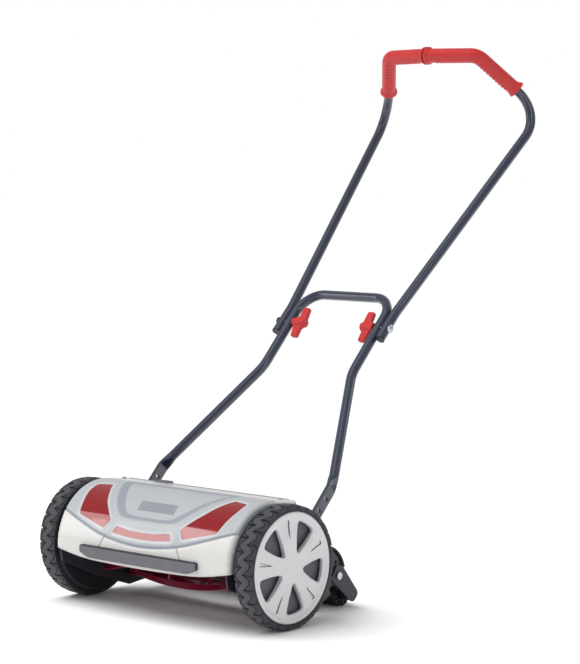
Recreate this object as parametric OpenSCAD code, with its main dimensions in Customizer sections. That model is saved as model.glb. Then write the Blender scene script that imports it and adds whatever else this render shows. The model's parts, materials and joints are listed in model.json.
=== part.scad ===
// Push reel mower: two ground wheels drive a five-blade reel through an internal ring gear and a pinion each.
// The reel shears the grass against a fixed bed knife. A rear roller on two arms sets the cutting height.
// Frame: +Z up, -Y is the front, +X is the right wheel as seen from the front left.
// The origin lies on the ground, in the middle of the whole machine's length and width.

/* [Machine] */
// Width over the outer faces of the two wheels
overall_w = 506; // [440:1:620]
// Outer diameter of the tyres
tyre_d = 210; // [190:1:250]
// Width of a tyre
tyre_w = 37; // [28:1:44]
// Depth of the tyre's rubber, from the wheel body to the ground
tyre_t = 11; // [8:0.5:14]
// Gap between a side plate and the inner face of a tyre
wheel_gap = 16; // [16:0.5:24]

/* [Drive] */
// Gear module
gear_m = 1.5; // [1.4:0.05:1.6]
// Teeth of the ring gear inside a wheel
ring_teeth = 60; // [60:2:64]
// Teeth of a pinion on the reel shaft
pinion_teeth = 15; // [14:1:16]
// Angle of the reel shaft below the wheel axle's level, towards the rear
reel_angle = -23.4; // [-30:0.1:-15]
// Diameter of the wheel axles
axle_d = 12; // [10:0.5:14]
// Diameter of the reel shaft
shaft_d = 12; // [11:0.5:13]

/* [Reel] */
// Cutting diameter of the reel
reel_d = 120; // [110:1:124]
// Number of helical blades
blades = 5; // [5:1:5]
// Radial width of a blade
blade_w = 12; // [8:0.5:16]
// Thickness of a blade
blade_t = 2.6; // [2:0.1:4]
// Turn of a blade from one end of the reel to the other
blade_twist = 92; // [60:1:120]
// Gap between a blade's edge and the bed knife
knife_gap = 0.4; // [0.3:0.1:0.8]

/* [Frame] */
// Thickness of the side plates
plate_t = 3; // [2:0.5:4]
// Outer radius of the hood about the wheel axle
hood_r = 107; // [105:0.5:110]
// Wall of the hood
hood_t = 3; // [2:0.5:4]
// Diameter of the rear roller
roller_d = 41.2; // [36:0.2:46]
// Thickness of a roller arm
arm_t = 3; // [2:0.5:4]

/* [Handle] */
// Outer diameter of the handle tubes
tube_d = 18; // [16:0.5:20]
// Wall of the handle tubes
tube_wall = 1.5; // [1.2:0.1:2]
// Slope of the lower handle
lower_slope = 46.6; // [40:0.2:52]
// Slope of the upper handle
upper_slope = 45.2; // [40:0.2:52]
// Distance along the lower handle from its bolts to the cross bar
lower_len = 497; // [468:1:548]
// Distance along the lower handle from its bolts to the fold bolts
fold_at = 428; // [408:1:428]
// Distance from the fold bolts to the upper bend
upper_len = 547; // [480:1:640]
// Outer diameter of the grips
grip_d = 27; // [25:0.5:31]

/* [Hidden] */
$fn = 64;

// Bends of a tube: extra wall, and how far a straight reaches into a bend
swell = 0.15;
lap = 1;

// Clearances
run = 0.05;      // radial, between a shaft and its bore
gap = 0.3;       // between flat faces of pieces that move apart

// Heights and widths worked out from the driving sizes
tyre_r = tyre_d / 2;
axle_r = axle_d / 2;
axle_z = tyre_r;
wheel_out = overall_w / 2;
wheel_in = wheel_out - tyre_w;
plate_out = wheel_in - wheel_gap;
plate_in = plate_out - plate_t;
rim_r = tyre_r - tyre_t;

// Gears
ring_pitch = gear_m * ring_teeth / 2;
pinion_pitch = gear_m * pinion_teeth / 2;
reel_off = ring_pitch - pinion_pitch;
reel_y = reel_off * cos(reel_angle);
reel_z = axle_z + reel_off * sin(reel_angle);
gear_in = wheel_in + 2;
gear_len = 11;
web_in = wheel_in + 20;
web_t = 3;
ring_wall_r = ring_pitch + 7;
hub_r = 12.5;
shaft_r = shaft_d / 2;

// Reel
reel_r = reel_d / 2;
blade_len = 2 * (plate_in - 10);
spider_r = reel_r - blade_w - 0.1;
spider_t = 2.5;
spider_x = [-0.9, -0.3, 0.3, 0.9];
bottom_at = -85;    // place along the reel where blade 1 is lowest
bearing_r = 14;

// Bed knife: its edge lies below and behind the reel's axis
knife_angle = 20;
knife_y = reel_y + (reel_r + knife_gap) * sin(knife_angle);
knife_z = reel_z - (reel_r + knife_gap) * cos(knife_angle);
knife_w = 24;
knife_t = 3;
knife_tilt = -14;
bed_pivot = [knife_y + 24, knife_z + 3];
block_at = 12;       // where the bar's block starts along the knife
bed_bar_r = 7;

// Side plate landmarks, from the axle's place on the ground
handle_bolt = [101.8, 160.7];
arm_bolt = [174, 62];
arm_end = [215, roller_d / 2];
free_holes = [[170.5, 86], [160.5, 73]];
bolt_r = 4;
head_r = 7;
hole_r = 3.25;
tie_front = [-55, 165];
tie_rear = [142, 62];
tie_r = 6;

// Handle: the lower one lies in one sloping plane
flat_t = 5;
flat_w = 25;
flat_len = 78;
tube_r = tube_d / 2;
flat_x = plate_out + gap + flat_t / 2;
lower_x = 106.5;
first_bend = [195, 101];
second_bend_s = 321;
second_bend_r = 80;
corner_r = 45;
joint_gap = 0.5;
upper_x = lower_x + tube_d + joint_gap;
fold_y = handle_bolt[0] + fold_at * cos(lower_slope);
fold_z = handle_bolt[1] + fold_at * sin(lower_slope);
stub = 24;
flare_s = 38;
apex_x = 188;
apex_r = 62;
grip_slope = 131.7;
grip_back = 146;
grip_x = 107;
grip_corner_r = 28;
bar_bow = [-18, 1];
bar_r = 150;
grip_len = 99;
grip_r = grip_d / 2;
grip_bore = tube_r + 2 * swell + 0.1;
flare_r = grip_r + 4.5;

up_dir = [cos(upper_slope), sin(upper_slope)];
back_dir = [cos(grip_slope), sin(grip_slope)];
fold = [fold_y, fold_z];
apex = fold + upper_len * up_dir;
corner = apex + grip_back * back_dir;
bar_mid = corner + bar_bow;

// The upper handle's corners on the right side, from the lower end to the middle of the bar
right_path = [
    on(upper_x, fold - stub * up_dir), on(upper_x, fold + flare_s * up_dir),
    on(apex_x, apex), on(grip_x, corner), on(0, bar_mid)
];
right_radii = [0, 80, apex_r, grip_corner_r, bar_r];
upper_path = concat(right_path, [for (i = [3:-1:0]) flip(right_path[i])]);
upper_radii = concat(right_radii, [for (i = [3:-1:0]) right_radii[i]]);

// Middle of the machine's length: the bumper's face in front, the apex bend of the handle behind
bumper_front = -(hood_r + 12);
apex_in = unit(right_path[2] - right_path[1]);
apex_out = unit(right_path[3] - right_path[2]);
apex_normal = unit(cross(apex_in, apex_out));
apex_centre = bend_centre(right_path[1], right_path[2], right_path[3], apex_r);
rearmost = apex_centre[1] + apex_r * sqrt(1 - pow(apex_normal[1], 2)) + tube_r + swell;
axle_y = -(bumper_front + rearmost) / 2;

// ---- Functions ----
function on(x, yz) = [x, yz[0], yz[1]];
function flip(p) = [-p[0], p[1], p[2]];
function unit(v) = v / norm(v);
function arc(c, r, a0, a1, n) = [for (i = [0:n]) let(a = a0 + (a1 - a0) * i / n) c + r * [cos(a), sin(a)]];

// Centre of the arc of radius r that rounds corner b of the path a, b, c
function bend_centre(a, b, c, r) =
    let(u = unit(a - b), v = unit(c - b), half = acos(u * v) / 2)
    b + unit(u + v) * r / sin(half);

// Points of a corner b of the outline a, b, c, rounded to radius r
function round_corner(a, b, c, r, n) =
    let(u = unit(a - b), v = unit(c - b), half = acos(u * v) / 2)
    let(t = r / tan(half), m = b + unit(u + v) * r / sin(half))
    let(p = b + u * t - m, q = b + v * t - m)
    let(a0 = atan2(p[1], p[0]), turn = atan2(p[0] * q[1] - p[1] * q[0], p * q))
    arc(m, r, a0, a0 + turn, n);

// The inner corners of an open outline, each rounded to its own radius
function rounded_run(pts, radii, n = 6) =
    [for (i = [1:len(pts) - 2]) each round_corner(pts[i - 1], pts[i], pts[i + 1], radii[i - 1], n)];

// A closed outline with each corner rounded to its own radius
function rounded(pts, radii, n = 6) =
    rounded_run(concat([pts[len(pts) - 1]], pts, [pts[0]]), radii, n);

// ---- Shared shapes ----
// Everything is drawn from the point on the ground below the wheel axle
module at_axle() { translate([0, axle_y, 0]) children(); }

// A shape drawn in Y and Z, given a length along X
module plate(x, t) { translate([x, 0, 0]) rotate([90, 0, 90]) linear_extrude(t) children(); }

// A rod along X from x0 to x1 at the place yz
module rod(x0, x1, yz, r) {
    translate([min(x0, x1), yz[0], yz[1]]) rotate([0, 90, 0]) cylinder(h = abs(x1 - x0), r = r);
}

module ring(x0, x1, yz, r, bore) {
    difference() {
        rod(x0, x1, yz, r);
        rod(min(x0, x1) - 1, max(x0, x1) + 1, yz, bore);
    }
}

// The same shape on the left side
module side(s) { mirror([s < 0 ? 1 : 0, 0, 0]) children(); }

module tube_section(r, wall) {
    difference() {
        circle(r = r);
        circle(r = r - wall);
    }
}

// A straight length of tube from a to b
module straight(a, b, r, wall) {
    d = b - a;
    turn = atan2(d[1], d[0]);
    lean = acos(d[2] / norm(d));
    translate(a) rotate([0, lean, turn]) linear_extrude(norm(d)) tube_section(r, wall);
}

// The bend of radius br at corner b of the path a, b, c
// Its wall is a little thicker than the straights', which end inside it.
module bend(a, b, c, br, r, wall) {
    u = unit(b - a);
    v = unit(c - b);
    m = bend_centre(a, b, c, br);
    turn = acos(u * v);
    start = unit(b - u * br * tan(turn / 2) - m);
    w = cross(start, u);
    multmatrix([
        [start[0], u[0], w[0], m[0]], [start[1], u[1], w[1], m[1]],
        [start[2], u[2], w[2], m[2]], [0, 0, 0, 1]
    ]) rotate_extrude(angle = turn) translate([br, 0]) tube_section(r + swell, wall + 2 * swell);
}

// A tube along a path of corners, each with its bend radius
module bent_tube(path, radii, r, wall) {
    n = len(path) - 1;
    function cut(i) = (i == 0 || i == n) ? 0 :
        radii[i] * tan(acos(unit(path[i] - path[i - 1]) * unit(path[i + 1] - path[i])) / 2) - lap;
    for (i = [0:n - 1]) {
        u = unit(path[i + 1] - path[i]);
        straight(path[i] + u * cut(i), path[i + 1] - u * cut(i + 1), r, wall);
    }
    for (i = [1:n - 1]) bend(path[i - 1], path[i], path[i + 1], radii[i], r, wall);
}

// Toothed outline: tooth flanks run from half-angle a0 at r0 to a1 at r1
module teeth(n, r0, r1, a0, a1, first) {
    for (i = [0:n - 1]) {
        a = first + i * 360 / n;
        polygon([
            r0 * [cos(a - a0), sin(a - a0)], r1 * [cos(a - a1), sin(a - a1)],
            r1 * [cos(a + a1), sin(a + a1)], r0 * [cos(a + a0), sin(a + a0)]
        ]);
    }
}

// ---- Frame ----
plate_top_r = hood_r - hood_t - gap;
module side_plate_outline() {
    front = arc([0, axle_z], plate_top_r, 196, 78, 24);
    rear = rounded_run([
        front[len(front) - 1], [60, 201.5], [66, 190], [104, 181], [118, 170], [126, 142], [138, 118],
        [160, 109], [176, 94], [184, 66], [180, 50], [165, 52], [152, 40], [158, 32], [140, 22], [62, 13],
        [-20, 40], front[0]
    ], [2, 3, 12, 12, 30, 14, 10, 12, 8, 8, 4, 4, 3, 6, 10, 20]);
    polygon(concat(front, rear));
}

// A tab folded inwards under the hood takes its screw
tab_w = 18;
module side_plate() {
    difference() {
        union() {
            plate(plate_in, plate_t) side_plate_outline();
            on_hood_top(plate_in - tab_w) translate([0, -tab_w / 2, -hood_t - gap - plate_t])
                cube([tab_w + 1, tab_w, plate_t]);
        }
        hood_screw_hole();
        // The hood's rear lip drops into a slot
        plate(plate_in - 1, plate_t + 2) translate(lip - [hood_t + gap, lip_drop + gap])
            square([hood_t + 2 * gap, hood_r]);
        rod(0, wheel_in, [0, axle_z], axle_r);
        rod(0, wheel_in, [reel_y, reel_z], bearing_r);
        for (p = [handle_bolt, arm_bolt]) rod(0, wheel_in, p, bolt_r);
        for (p = free_holes) rod(0, wheel_in, p, hole_r);
        rod(0, wheel_in, bed_pivot, bolt_r);
        for (p = [tie_front, tie_rear]) rod(0, wheel_in, p, tie_r / 2);
    }
}
module side_plate_left() { color("dimgray") at_axle() side(-1) side_plate(); }
module side_plate_right() { color("dimgray") at_axle() side_plate(); }

// Two rods keep the side plates apart: a wide middle, a thin end through each plate and a nut outside
module tie_rods() {
    color("silver") at_axle() for (p = [tie_front, tie_rear]) {
        rod(-plate_in, plate_in, p, tie_r);
        for (s = [-1, 1]) {
            rod(s * plate_in, s * (plate_out + 4), p, tie_r / 2);
            translate([s * (plate_out + 2), p[0], p[1]]) rotate([0, 90, 0])
                cylinder(h = 4, r = 5.5, center = true, $fn = 6);
        }
    }
}

// The hood follows the tyres: an arc in front, then a flat top that ends in a down-turned lip
hood_w = plate_out + 8;
hood_low = -9.2;
hood_top = 95;
lip = [65, axle_z + 101];
lip_drop = 14;
module hood_section(r, t) {
    outer = arc([0, axle_z], r, 180 - hood_low, 180 - hood_top, 36);
    inner = arc([0, axle_z], r - t, 180 - hood_top, 180 - hood_low, 36);
    polygon(concat(outer, [lip, lip - [0, lip_drop], lip - [t, lip_drop], lip - [t, t]], inner));
}
cheek_r = hood_r - 20;
cut_at = 130;
module hood() {
    color("gainsboro") at_axle() difference() {
        union() {
            plate(-hood_w, 2 * hood_w) hood_section(hood_r, hood_t);
            for (s = [-1, 1]) plate(s * (hood_w - hood_t / 2) - hood_t / 2, hood_t) polygon(concat(
                arc([0, axle_z], hood_r - hood_t / 2, 180 - hood_low, 180 - hood_top, 36),
                arc([0, axle_z], cheek_r, 180 - hood_top, 180 - hood_low, 36)
            ));
        }
        // The front edge rises towards both ends
        for (s = [-1, 1]) side(s) rotate([90, 0, 0]) linear_extrude(2 * hood_r)
            polygon([[cut_at, 60], [cut_at, axle_z - 17], [hood_w + 1, axle_z - 4], [hood_w + 1, 60]]);
        for (s = [-1, 1]) side(s) hood_screw_hole();
    }
}

// A strip of soft plastic across the hood's front
strip_low = axle_z - 11;
strip_high = axle_z + 10;
strip_w = 139;
module bumper_strip() {
    color("dimgray") at_axle() translate([0, -hood_r, 0]) rotate([90, 0, 0])
        linear_extrude(-bumper_front - hood_r) polygon(rounded([
            [-strip_w, strip_high], [strip_w, strip_high], [strip_w, strip_low + 9],
            [strip_w - 22, strip_low], [22 - strip_w, strip_low], [-strip_w, strip_low + 9]
        ], [3, 3, 5, 12, 12, 5]));
}

// Screws through the hood's flat top into the side plates' tabs
screw_x = plate_in - tab_w / 2;
screw_y = 42;
screw_r = 2;
top_start = [-hood_r * cos(hood_top), axle_z + hood_r * sin(hood_top)];
top_fall = atan((top_start[1] - lip[1]) / (lip[0] - top_start[0]));
hood_z = top_start[1] - (screw_y - top_start[0]) * tan(top_fall);
module on_hood_top(x) { translate([x, screw_y, hood_z]) rotate([-top_fall, 0, 0]) children(); }
module hood_screw_hole() { on_hood_top(screw_x) translate([0, 0, -20]) cylinder(h = 30, r = screw_r); }
module hood_screws() {
    color("silver") at_axle() for (s = [-1, 1]) side(s) on_hood_top(screw_x) {
        translate([0, 0, -12]) cylinder(h = 12, r = screw_r);
        cylinder(h = 2.5, r = 4);
    }
}

// A small clip on the hood's rear lip
clip_x = -105;
clip_w = 26;
module handle_clip() {
    color("slategray") at_axle() plate(clip_x - clip_w / 2, clip_w) polygon([
        lip + [0, -10], lip, lip + [-12, 1.3], lip + [-12, 4.5], lip + [4, 3.5], lip + [4, -10]
    ]);
}

// A curved guard behind the reel keeps cuttings and feet apart
guard_c = [142, 60];
guard_r = 58;
guard_t = 3;
module rear_guard() {
    color("black") at_axle() plate(-plate_in, 2 * plate_in) polygon(concat(
        arc(guard_c, guard_r, 120, 14, 24), arc(guard_c, guard_r - guard_t, 14, 120, 24)
    ));
}

// A disc closes the inner side of each wheel against grass
cover_r = rim_r - 3;
cover_x = wheel_in - 6.5;
cover_t = 2;
collar_r = ring_wall_r + 6;
module gear_cover() {
    difference() {
        union() {
            rod(cover_x, cover_x + cover_t, [0, axle_z], cover_r);
            rod(plate_out, cover_x, [0, axle_z], collar_r);
        }
        rod(plate_out - 1, cover_x, [0, axle_z], collar_r - 4);
        rod(plate_out, wheel_in, [0, axle_z], axle_r + 4.5);
        rod(plate_out, wheel_in, [reel_y, reel_z], hub_r + 1);
    }
}
module gear_cover_left() { color("black") at_axle() side(-1) gear_cover(); }
module gear_cover_right() { color("black") at_axle() gear_cover(); }

// A stepped pin riveted into the side plate
wheel_hub_out = web_in + 8;
module axle() {
    rod(plate_in, wheel_hub_out + 2.5, [0, axle_z], axle_r);
    rod(plate_out, wheel_in - 3.5, [0, axle_z], axle_r + 4);
}
module axle_left() { color("silver") at_axle() side(-1) axle(); }
module axle_right() { color("silver") at_axle() axle(); }

module wheel_clips() {
    color("silver") at_axle() for (s = [-1, 1]) side(s)
        ring(wheel_hub_out + gap, wheel_hub_out + gap + 1.2, [0, axle_z], axle_r + 5, axle_r);
}

module bearing() { ring(plate_in - 6, plate_out + 0.4, [reel_y, reel_z], bearing_r, shaft_r + run); }
module bearing_left() { color("goldenrod") at_axle() side(-1) bearing(); }
module bearing_right() { color("goldenrod") at_axle() bearing(); }

// Shouldered bolts: a head outside, a shank through the plate and a nut inside
module pivot_bolt(yz, x_head, head) {
    rod(plate_in - 5, x_head, yz, bolt_r);
    rod(x_head, x_head + 3, yz, head);
    translate([plate_in - 2.5, yz[0], yz[1]]) rotate([0, 90, 0])
        cylinder(h = 5, r = head_r, center = true, $fn = 6);
}
module handle_bolts() {
    color("silver") at_axle() for (s = [-1, 1]) side(s)
        pivot_bolt(handle_bolt, plate_out + 2 * gap + flat_t, head_r);
}
module arm_bolts() {
    color("silver") at_axle() for (s = [-1, 1]) side(s)
        pivot_bolt(arm_bolt, plate_out + 2 * gap + arm_t, head_r - 0.5);
}
module bed_pivot_screws() {
    color("silver") at_axle() for (s = [-1, 1]) side(s) {
        rod(plate_in - 12, plate_out, bed_pivot, bolt_r);
        rod(plate_out, plate_out + 3, bed_pivot, head_r);
    }
}

// ---- Bed ----
// A bar between the side plates carries the knife and swings on two screws
module bed_bar() {
    color("darkred") at_axle() difference() {
        union() {
            rod(gap - plate_in, plate_in - gap, bed_pivot, bed_bar_r);
            plate(gap - plate_in + 2, 2 * (plate_in - gap - 2)) knife_place()
                translate([block_at, knife_t / 2]) square([knife_w - block_at, 6]);
        }
        for (s = [-1, 1]) side(s) rod(plate_in - 14, plate_in, bed_pivot, bolt_r + run);
        for (x = knife_screw_x) knife_bore(x, 2.5);
    }
}
module knife_place() { translate([knife_y, knife_z]) rotate(knife_tilt) children(); }
knife_screw_x = [for (i = [-2:2]) i * 80];
module knife_bore(x, r) {
    translate([x, knife_y, knife_z]) rotate([knife_tilt, 0, 0]) translate([0, 16, -6]) cylinder(h = 20, r = r);
}
module bed_knife() {
    color("maroon") at_axle() difference() {
        plate(gap - plate_in + 2, 2 * (plate_in - gap - 2)) knife_place()
            polygon([[0, -0.5], [0.8, -knife_t / 2], [knife_w, -knife_t / 2], [knife_w, knife_t / 2], [4, knife_t / 2]]);
        for (x = knife_screw_x) knife_bore(x, 2.5);
    }
}
module knife_screws() {
    color("silver") at_axle() for (x = knife_screw_x)
        translate([x, knife_y, knife_z]) rotate([knife_tilt, 0, 0]) translate([0, 16, 0]) {
            translate([0, 0, -knife_t / 2]) cylinder(h = 8, r = 2.4);
            translate([0, 0, -knife_t / 2 - 1.6]) cylinder(h = 1.6, r = 4.2);
        }
}

// ---- Wheels ----
shoulder = 5;
lugs = 28;
lug_h = 2.5;
module tyre_section() {
    tread = tyre_r - lug_h;
    polygon([
        [rim_r, 0], [tread - shoulder / 2, 0], [tread, shoulder], [tread, tyre_w - shoulder],
        [tread - shoulder / 2, tyre_w], [rim_r, tyre_w]
    ]);
}
// A ring of rubber with a row of lugs on each shoulder
module tyre() {
    translate([wheel_in, 0, axle_z]) rotate([90, 0, 90]) {
        rotate_extrude($fn = 96) tyre_section();
        for (i = [0:lugs - 1], row = [0, 1]) rotate(i * 360 / lugs + row * 180 / lugs)
            translate([tyre_r - lug_h - 3, -6, row * (tyre_w - 11) + 2]) cube([lug_h + 3, 11, 7]);
    }
}
module tyre_left() { color("darkslategray") at_axle() side(-1) tyre(); }
module tyre_right() { color("darkslategray") at_axle() tyre(); }

// Moulded wheel: rim barrel, web, hub with its bore, and the ring gear on the inner side
barrel_t = 7;
module wheel_body() {
    ring(wheel_in + 1.5, wheel_out - 4, [0, axle_z], rim_r, rim_r - barrel_t);
    ring(web_in, web_in + web_t, [0, axle_z], rim_r - barrel_t + 1, axle_r + run);
    ring(wheel_in - 3, wheel_hub_out, [0, axle_z], axle_r + 10, axle_r + run);
    plate(gear_in, web_in - gear_in) translate([0, axle_z]) {
        difference() {
            circle(r = ring_wall_r);
            circle(r = ring_pitch + 1.7);
        }
        teeth(ring_teeth, ring_pitch + 2, ring_pitch - 1.1, 2.05, 0.8, reel_angle + 180 / ring_teeth);
    }
}
module wheel_body_left() { color("#43434c") at_axle() side(-1) wheel_body(); }
module wheel_body_right() { color("#43434c") at_axle() wheel_body(); }

// A silver disc with five openings snaps over the wheel body
windows = 5;
window_first = -10.9;
window_tip = 24;
window_out = 79.5;
window_half = 16.2;
window_wall = 1.6;
window_deep = 6.5;    // depth of the wall round each opening
face_t = 3;
dish = 2.5;           // the face lies this far below the rim's lip, and rises to its level at the middle
skirt_r = rim_r - barrel_t - 0.2;
module wheel_window(grow) {
    out = window_out + grow;
    half = window_half + grow * 0.9;
    polygon(rounded([
        [window_tip - 2.6 * grow, 0], out * [cos(half), -sin(half)], out * [cos(half / 2), -sin(half / 2)], [out, 0],
        out * [cos(half / 2), sin(half / 2)], out * [cos(half), sin(half)]
    ], [5 + grow, 6 + grow, 40, 40, 40, 6 + grow]));
}
module wheel_cover() {
    difference() {
        union() {
            translate([wheel_out, 0, axle_z]) rotate([90, 0, 90]) rotate_extrude($fn = 96) polygon([
                [0, -0.1], [36, -0.2], [50, -0.6 * dish + 0.6], [66, -dish + 0.3], [82, -dish], [rim_r - 9, -dish],
                [rim_r - 7, 0], [rim_r - 3, 0], [rim_r, -1.5], [rim_r, -3.7], [skirt_r, -3.7],
                [skirt_r, -dish - face_t], [66, -dish - face_t], [40, -face_t - 0.3], [0, -face_t]
            ]);
            for (i = [0:windows - 1]) plate(wheel_out - dish - window_deep, window_deep)
                translate([0, axle_z]) rotate(window_first + i * 360 / windows) wheel_window(window_wall);
        }
        for (i = [0:windows - 1]) plate(wheel_out - 10, 12) translate([0, axle_z])
            rotate(window_first + i * 360 / windows) wheel_window(0);
    }
}
module wheel_cover_left() { color("silver") at_axle() side(-1) wheel_cover(); }
module wheel_cover_right() { color("silver") at_axle() wheel_cover(); }

// ---- Drive ----
// A pinion with a ratchet cup on its inner end: the drive key catches in a notch when the wheel drives
cup_in = plate_out + 1;
cup_deep = 11;
notch_r = hub_r - 2.2;
cup_r = shaft_r + 2.5;
notches = 6;
module pinion() {
    difference() {
        union() {
            rod(cup_in, gear_in, [reel_y, reel_z], hub_r);
            plate(gear_in, gear_len) translate([reel_y, reel_z]) {
                circle(r = pinion_pitch - 1.7);
                teeth(pinion_teeth, pinion_pitch - 2, pinion_pitch + 1.2, 8.6, 2.4, reel_angle);
            }
        }
        rod(cup_in, wheel_out, [reel_y, reel_z], shaft_r + run);
        rod(cup_in - 1, cup_in + cup_deep, [reel_y, reel_z], cup_r);
        plate(cup_in - 1, cup_deep + 1) translate([reel_y, reel_z]) intersection() {
            circle(r = notch_r);
            for (i = [0:notches / 2 - 1]) rotate(90 + i * 360 / notches) square([2 * hub_r, 4.4], center = true);
        }
    }
}
module pinion_left() { color("gray") at_axle() side(-1) pinion(); }
module pinion_right() { color("gray") at_axle() pinion(); }

// A flat bar that slides across the shaft
key_w = 3;
key_l = 8;
key_half = cup_r - 0.3;
module drive_key() {
    translate([cup_in + 1.5 + key_l / 2, reel_y, reel_z]) cube([key_l, key_w, 2 * key_half], center = true);
}
module drive_key_left() { color("silver") at_axle() side(-1) drive_key(); }
module drive_key_right() { color("silver") at_axle() drive_key(); }

// ---- Reel ----
shaft_end = gear_in + gear_len + 2.2;
module reel_shaft() {
    color("gray") at_axle() difference() {
        rod(-shaft_end, shaft_end, [reel_y, reel_z], shaft_r);
        for (s = [-1, 1]) side(s) translate([cup_in + 1.5 + key_l / 2, reel_y, reel_z])
            cube([key_l + 2 * run, key_w + 2 * run, 3 * shaft_r], center = true);
    }
}
function blade_angle(x) = -90 - (x - bottom_at) / blade_len * blade_twist;
module reel_spiders() {
    color("maroon") at_axle() for (k = spider_x) {
        x = k * blade_len / 2;
        difference() {
            union() {
                plate(x - spider_t / 2, spider_t) translate([reel_y, reel_z]) {
                    circle(r = 17);
                    for (i = [0:blades - 1]) rotate(blade_angle(x) + i * 360 / blades)
                        polygon([[0, -9], [spider_r, -5], [spider_r, 5], [0, 9]]);
                }
                rod(x - 4, x + 4, [reel_y, reel_z], 11);
            }
            rod(x - 5, x + 5, [reel_y, reel_z], shaft_r);
        }
    }
}
module reel_blade(i) {
    translate([-blade_len / 2, reel_y, reel_z]) rotate([90, 0, 90])
        rotate(blade_angle(-blade_len / 2) + i * 360 / blades)
        linear_extrude(blade_len, twist = blade_twist, slices = 24, $fn = 4)
        translate([reel_r - blade_w, -blade_t / 2]) square([blade_w, blade_t]);
}
module reel_blade_1() { color("maroon") at_axle() reel_blade(0); }
module reel_blade_2() { color("maroon") at_axle() reel_blade(1); }
module reel_blade_3() { color("maroon") at_axle() reel_blade(2); }
module reel_blade_4() { color("maroon") at_axle() reel_blade(3); }
module reel_blade_5() { color("maroon") at_axle() reel_blade(4); }
module reel_clips() {
    color("silver") at_axle() for (s = [-1, 1]) side(s)
        ring(gear_in + gear_len + gap, gear_in + gear_len + gap + 1, [reel_y, reel_z], shaft_r + 3, shaft_r);
}

// ---- Rear roller ----
module roller_arm() {
    difference() {
        plate(plate_out + gap, arm_t) polygon(rounded([
            [170, 81], [185, 78], [arm_end[0] + 13, arm_end[1] + 4], [arm_end[0] - 2, arm_end[1] - 12], [155, 58]
        ], [3, 4, 9, 8, 4]));
        rod(0, wheel_in, arm_bolt, bolt_r + run);
        rod(0, wheel_in, arm_end, 5);
    }
}
module roller_arm_left() { color("#5b5a68") at_axle() side(-1) roller_arm(); }
module roller_arm_right() { color("#5b5a68") at_axle() roller_arm(); }
module roller_axle() {
    color("dimgray") at_axle() rod(-plate_out - gap - arm_t, plate_out + gap + arm_t, arm_end, 5);
}
roller_half = plate_out - 24;
module rear_roller() {
    color("black") at_axle() ring(4 - roller_half, roller_half - 4, arm_end, roller_d / 2, roller_d / 2 - 3);
}
// A ribbed end cap with a bush that spaces the roller from its arm
module roller_cap() {
    difference() {
        union() {
            rod(roller_half - 4, roller_half, arm_end, roller_d / 2);
            rod(roller_half - 16, roller_half - 4, arm_end, roller_d / 2 - 3);
            rod(roller_half, plate_out, arm_end, 8.5);
        }
        rod(0, wheel_in, arm_end, 5 + run);
    }
}
module roller_cap_left() { color("black") at_axle() side(-1) roller_cap(); }
module roller_cap_right() { color("black") at_axle() roller_cap(); }

// ---- Lower handle ----
// The handle's own plane: X across, Y up the slope from the bolts
module on_slope() {
    translate([0, handle_bolt[0], handle_bolt[1]]) rotate([lower_slope, 0, 0]) children();
}
lower_half = [
    [first_bend[0], first_bend[1], 0], [lower_x, second_bend_s, 0], [lower_x, lower_len, 0]
];
lower_path = concat(lower_half, [for (i = [2:-1:0]) flip(lower_half[i])]);
// Two more holes above the bolt's
spare_holes_s = [28, 54];
module flat_end() {
    difference() {
        union() {
            translate([flat_x - flat_t / 2, 0, 0]) rotate([0, 90, 0]) cylinder(h = flat_t, r = flat_w / 2);
            translate([flat_x - flat_t / 2, 0, -flat_w / 2]) cube([flat_t, flat_len, flat_w]);
        }
        rotate([0, 90, 0]) cylinder(h = wheel_in, r = bolt_r + run);
        for (s = spare_holes_s) translate([0, s, 0]) rotate([0, 90, 0]) cylinder(h = wheel_in, r = hole_r);
    }
    // The tube swells out of the flattened end
    lean = atan2(first_bend[0] - lower_x, second_bend_s - first_bend[1]);
    hull() {
        translate([flat_x - flat_t / 2, flat_len - 0.5, -flat_w / 2]) cube([flat_t, 0.5, flat_w]);
        translate([first_bend[0], first_bend[1], 0]) rotate([-90, 0, lean])
            cylinder(h = 3, r = tube_r + 0.4, $fn = 32);
    }
}
module lower_handle() {
    color("#3d4760") at_axle() on_slope() difference() {
        union() {
            for (s = [-1, 1]) side(s) flat_end();
            bent_tube(lower_path, [0, second_bend_r, corner_r, corner_r, second_bend_r, 0], tube_r, tube_wall);
        }
        for (s = [-1, 1]) side(s) translate([0, fold_at, 0]) rotate([0, 90, 0])
            cylinder(h = wheel_in, r = bolt_r + run);
    }
}

// ---- Upper handle ----
module upper_handle() {
    color("#3d4760") at_axle() difference() {
        bent_tube(upper_path, upper_radii, tube_r, tube_wall);
        for (s = [-1, 1]) side(s) rod(lower_x + tube_r, wheel_in, fold, bolt_r);
    }
}

// Plugs close the lower ends of the upper tube
module tube_plugs() {
    color("black") at_axle() for (s = [-1, 1]) side(s)
        translate(right_path[0]) rotate([upper_slope - 90, 0, 0]) {
            translate([0, 0, -2]) cylinder(h = 2, r = tube_r);
            cylinder(h = 8, r = tube_r - tube_wall);
        }
}

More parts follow.
